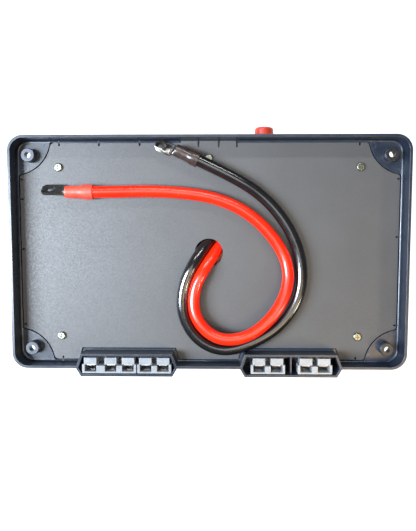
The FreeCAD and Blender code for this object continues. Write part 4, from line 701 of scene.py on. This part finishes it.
# Sockets, ports and switches in the top face: node, piece name, body, edge in millimetres, slot, material.
PANEL_PIECES = (
    ("control_panel", "panel", HUB, 0.4, "panel_plastic", textured_black_abs),
    ("control_panel_screws", "panel_screws", HUB, 0.15, "screw_steel", zinc_plated_steel),
    ("accessory_socket_1", "socket_body_1", HUB, 0.3, "fitting_plastic", polished_black_nylon),
    ("accessory_socket_2", "socket_body_2", HUB, 0.3, "fitting_plastic", polished_black_nylon),
    ("usb_charger", "usb_body", HUB, 0.2, "fitting_plastic", polished_black_nylon),
    ("socket_cover_1", "cover_cap_1", "socket_cover_1", 0.25, "fitting_plastic", textured_black_abs),
    ("socket_cover_2", "cover_cap_2", "socket_cover_2", 0.25, "fitting_plastic", textured_black_abs),
    ("usb_cover", "cover_cap_3", "usb_cover", 0.25, "fitting_plastic", textured_black_abs),
    ("rocker_housing", "rocker_frame", HUB, 0.3, "fitting_plastic", polished_black_nylon),
    ("rocker_paddle", "rocker_key", "rocker_paddle", 0.2, "fitting_plastic", polished_black_nylon),
    ("display_window", "meter_window", HUB, 0.3, "window", smoked_acrylic),
)


class HUB_OT_panel_fittings(bpy.types.Operator):
    """Finishes the control panel and its fittings"""
    bl_idname = "hub.panel_fittings"
    bl_label = "Panel Fittings"

    def execute(self, context):
        for node, name, body, edge, slot, maker in PANEL_PIECES:
            piece = joined_copy(node, name)
            soften_edges(piece, edge, 2)
            smooth(piece)
            finish_piece(piece, body, material(maker), [node])
        return {"FINISHED"}


# CAD nodes whose shape is already right, by material.
PLAIN_NODES = (
    (foam_rubber, ("cover_gasket",)),
    (spring_steel, ("contact_springs", "cover_hinge_pins")),
    (zinc_plated_steel, ("connector_screws", "busbar_studs", "stud_nuts", "cable_clamp_screws",
                         "socket_liners")),
    (red_pvc_jacket, ("positive_output_leads", "red_inner_lead", "breaker_load_lead")),
    (black_pvc_jacket, ("negative_output_leads", "black_inner_lead", "accessory_wires")),
    (tinned_copper, ("crimped_lugs", "breaker_terminals")),
    (copper_bar, ("positive_busbar", "negative_busbar", "negative_link_bar")),
    (silver_plated_copper, ("negative_post", "socket_centre_contacts")),
    (glass_filled_nylon, ("busbar_feet", "main_breaker", "socket_nuts", "fuse_block",
                          "cable_clamp_base", "cable_clamp_cap")),
    (epoxy_board, ("display_module",)),
    (amber_polycarbonate, ("blade_fuses",)),
)


class HUB_OT_inner_works(bpy.types.Operator):
    """Gives the parts inside the casing their materials"""
    bl_idname = "hub.inner_works"
    bl_label = "Inner Works"

    def execute(self, context):
        for maker, names in PLAIN_NODES:
            for name in names:
                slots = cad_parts[name].data.materials
                slots.clear()
                slots.append(material(maker))
        return {"FINISHED"}


# ---- stage ----------------------------------------------------------------------------------
def area_light(name, place, aim, size, size_y, watts, colour):
    deselect()
    turn = (Vector(aim) - Vector(place)).to_track_quat("-Z", "Y").to_euler()
    bpy.ops.object.light_add(type="AREA", location=place, rotation=turn)
    light = bpy.context.object
    light.name = name
    light.data.shape = "RECTANGLE"
    light.data.size = size
    light.data.size_y = size_y
    light.data.energy = watts
    light.data.color = colour


# Soft lights: name, place, point aimed at, width, length, watts, colour.
WINDOW_LIGHT = ("window_light", (-1.08, -0.06, 1.24), (0.0, 0.0, 0.06), 0.46, 1.0, 92.0)
LIGHTS = (
    ("ceiling_light", (-0.10, 0.10, 1.45), (0.0, 0.0, 0.06), 0.7, 0.7, 5.0, (0.97, 0.98, 1.0)),
    ("strip_light", (0.10, 0.95, 0.95), (0.1, 0.0, 0.06), 0.9, 0.08, 8.0, (1.0, 0.98, 0.95)),
    ("warm_light", (0.85, -0.50, 0.65), (0.1, 0.0, 0.06), 0.15, 0.15, 4.0, (1.0, 0.90, 0.74)),
    ("low_warm_light", (0.42, -0.45, 1.20), (0.2, -0.1, 0.06), 0.5, 0.5, 5.5, (1.0, 0.74, 0.42)),
)
WORLD_COLOUR = (0.96, 0.97, 1.0, 1.0)
WORLD_STRENGTH = 0.14


def floor_material():
    # opal glass of a light table, lit from beneath: even white, very faintly mottled
    glass, tree, shader, place = new_material("opal_glass")
    cloud = add_node(tree, "ShaderNodeTexNoise", {"Vector": place, "Scale": 8.0})
    glow = add_node(tree, "ShaderNodeMapRange",
                    {"Value": cloud.outputs["Fac"], "To Min": 0.98, "To Max": 1.06})
    tree.links.new(glow.outputs["Result"], shader.inputs["Emission Strength"])
    shader.inputs["Emission Color"].default_value = (1.0, 1.0, 1.0, 1.0)
    shader.inputs["Base Color"].default_value = linear("8c8c8c")
    shader.inputs["Roughness"].default_value = 0.6
    return glass


class HUB_OT_stage(bpy.types.Operator):
    """Adds the pale floor, the soft lights and the even surroundings"""
    bl_idname = "hub.stage"
    bl_label = "Stage"

    def execute(self, context):
        deselect()
        half = context.scene.hub_sizes.floor_half
        bpy.ops.mesh.primitive_plane_add(size=2 * half, location=(0, 0, -mm(0.1)))
        floor = context.object
        floor.name = "floor"
        floor.data.materials.append(floor_material())
        area_light(*WINDOW_LIGHT, tuple(context.scene.hub_sizes.window_colour))
        for light in LIGHTS:
            area_light(*light)
        world = bpy.data.worlds.new("even_surroundings")
        world.use_nodes = True
        background = world.node_tree.nodes["Background"]
        background.inputs["Color"].default_value = WORLD_COLOUR
        background.inputs["Strength"].default_value = WORLD_STRENGTH
        context.scene.world = world
        context.scene.view_settings.view_transform = "Standard"
        return {"FINISHED"}


STEPS = (HUB_OT_camera, HUB_OT_battery_cables, HUB_OT_cable_ends, HUB_OT_casing, HUB_OT_cover_plate,
         HUB_OT_connectors, HUB_OT_breaker_button, HUB_OT_panel_fittings, HUB_OT_inner_works, HUB_OT_stage)


class HUB_PT_panel(bpy.types.Panel):
    """Lists the sizes and the steps"""
    bl_idname = "HUB_PT_panel"
    bl_label = "Power Hub"
    bl_space_type = "VIEW_3D"
    bl_region_type = "UI"
    bl_category = "Power Hub"

    def draw(self, context):
        sizes = context.scene.hub_sizes
        for name in ("cable_diameter", "rim_edge", "small_edge", "floor_half", "window_colour"):
            self.layout.prop(sizes, name)
        for step in STEPS:
            self.layout.operator(step.bl_idname)


CLASSES = (HubSizes, *STEPS, HUB_PT_panel)


def register():
    for cls in CLASSES:
        bpy.utils.register_class(cls)
    bpy.types.Scene.hub_sizes = PointerProperty(type=HubSizes)


def unregister():
    del bpy.types.Scene.hub_sizes
    for cls in reversed(CLASSES):
        bpy.utils.unregister_class(cls)


def main():
    register()
    for step in STEPS:
        group, name = step.bl_idname.split(".")
        getattr(getattr(bpy.ops, group), name)()


if __name__ == "__main__":
    main()
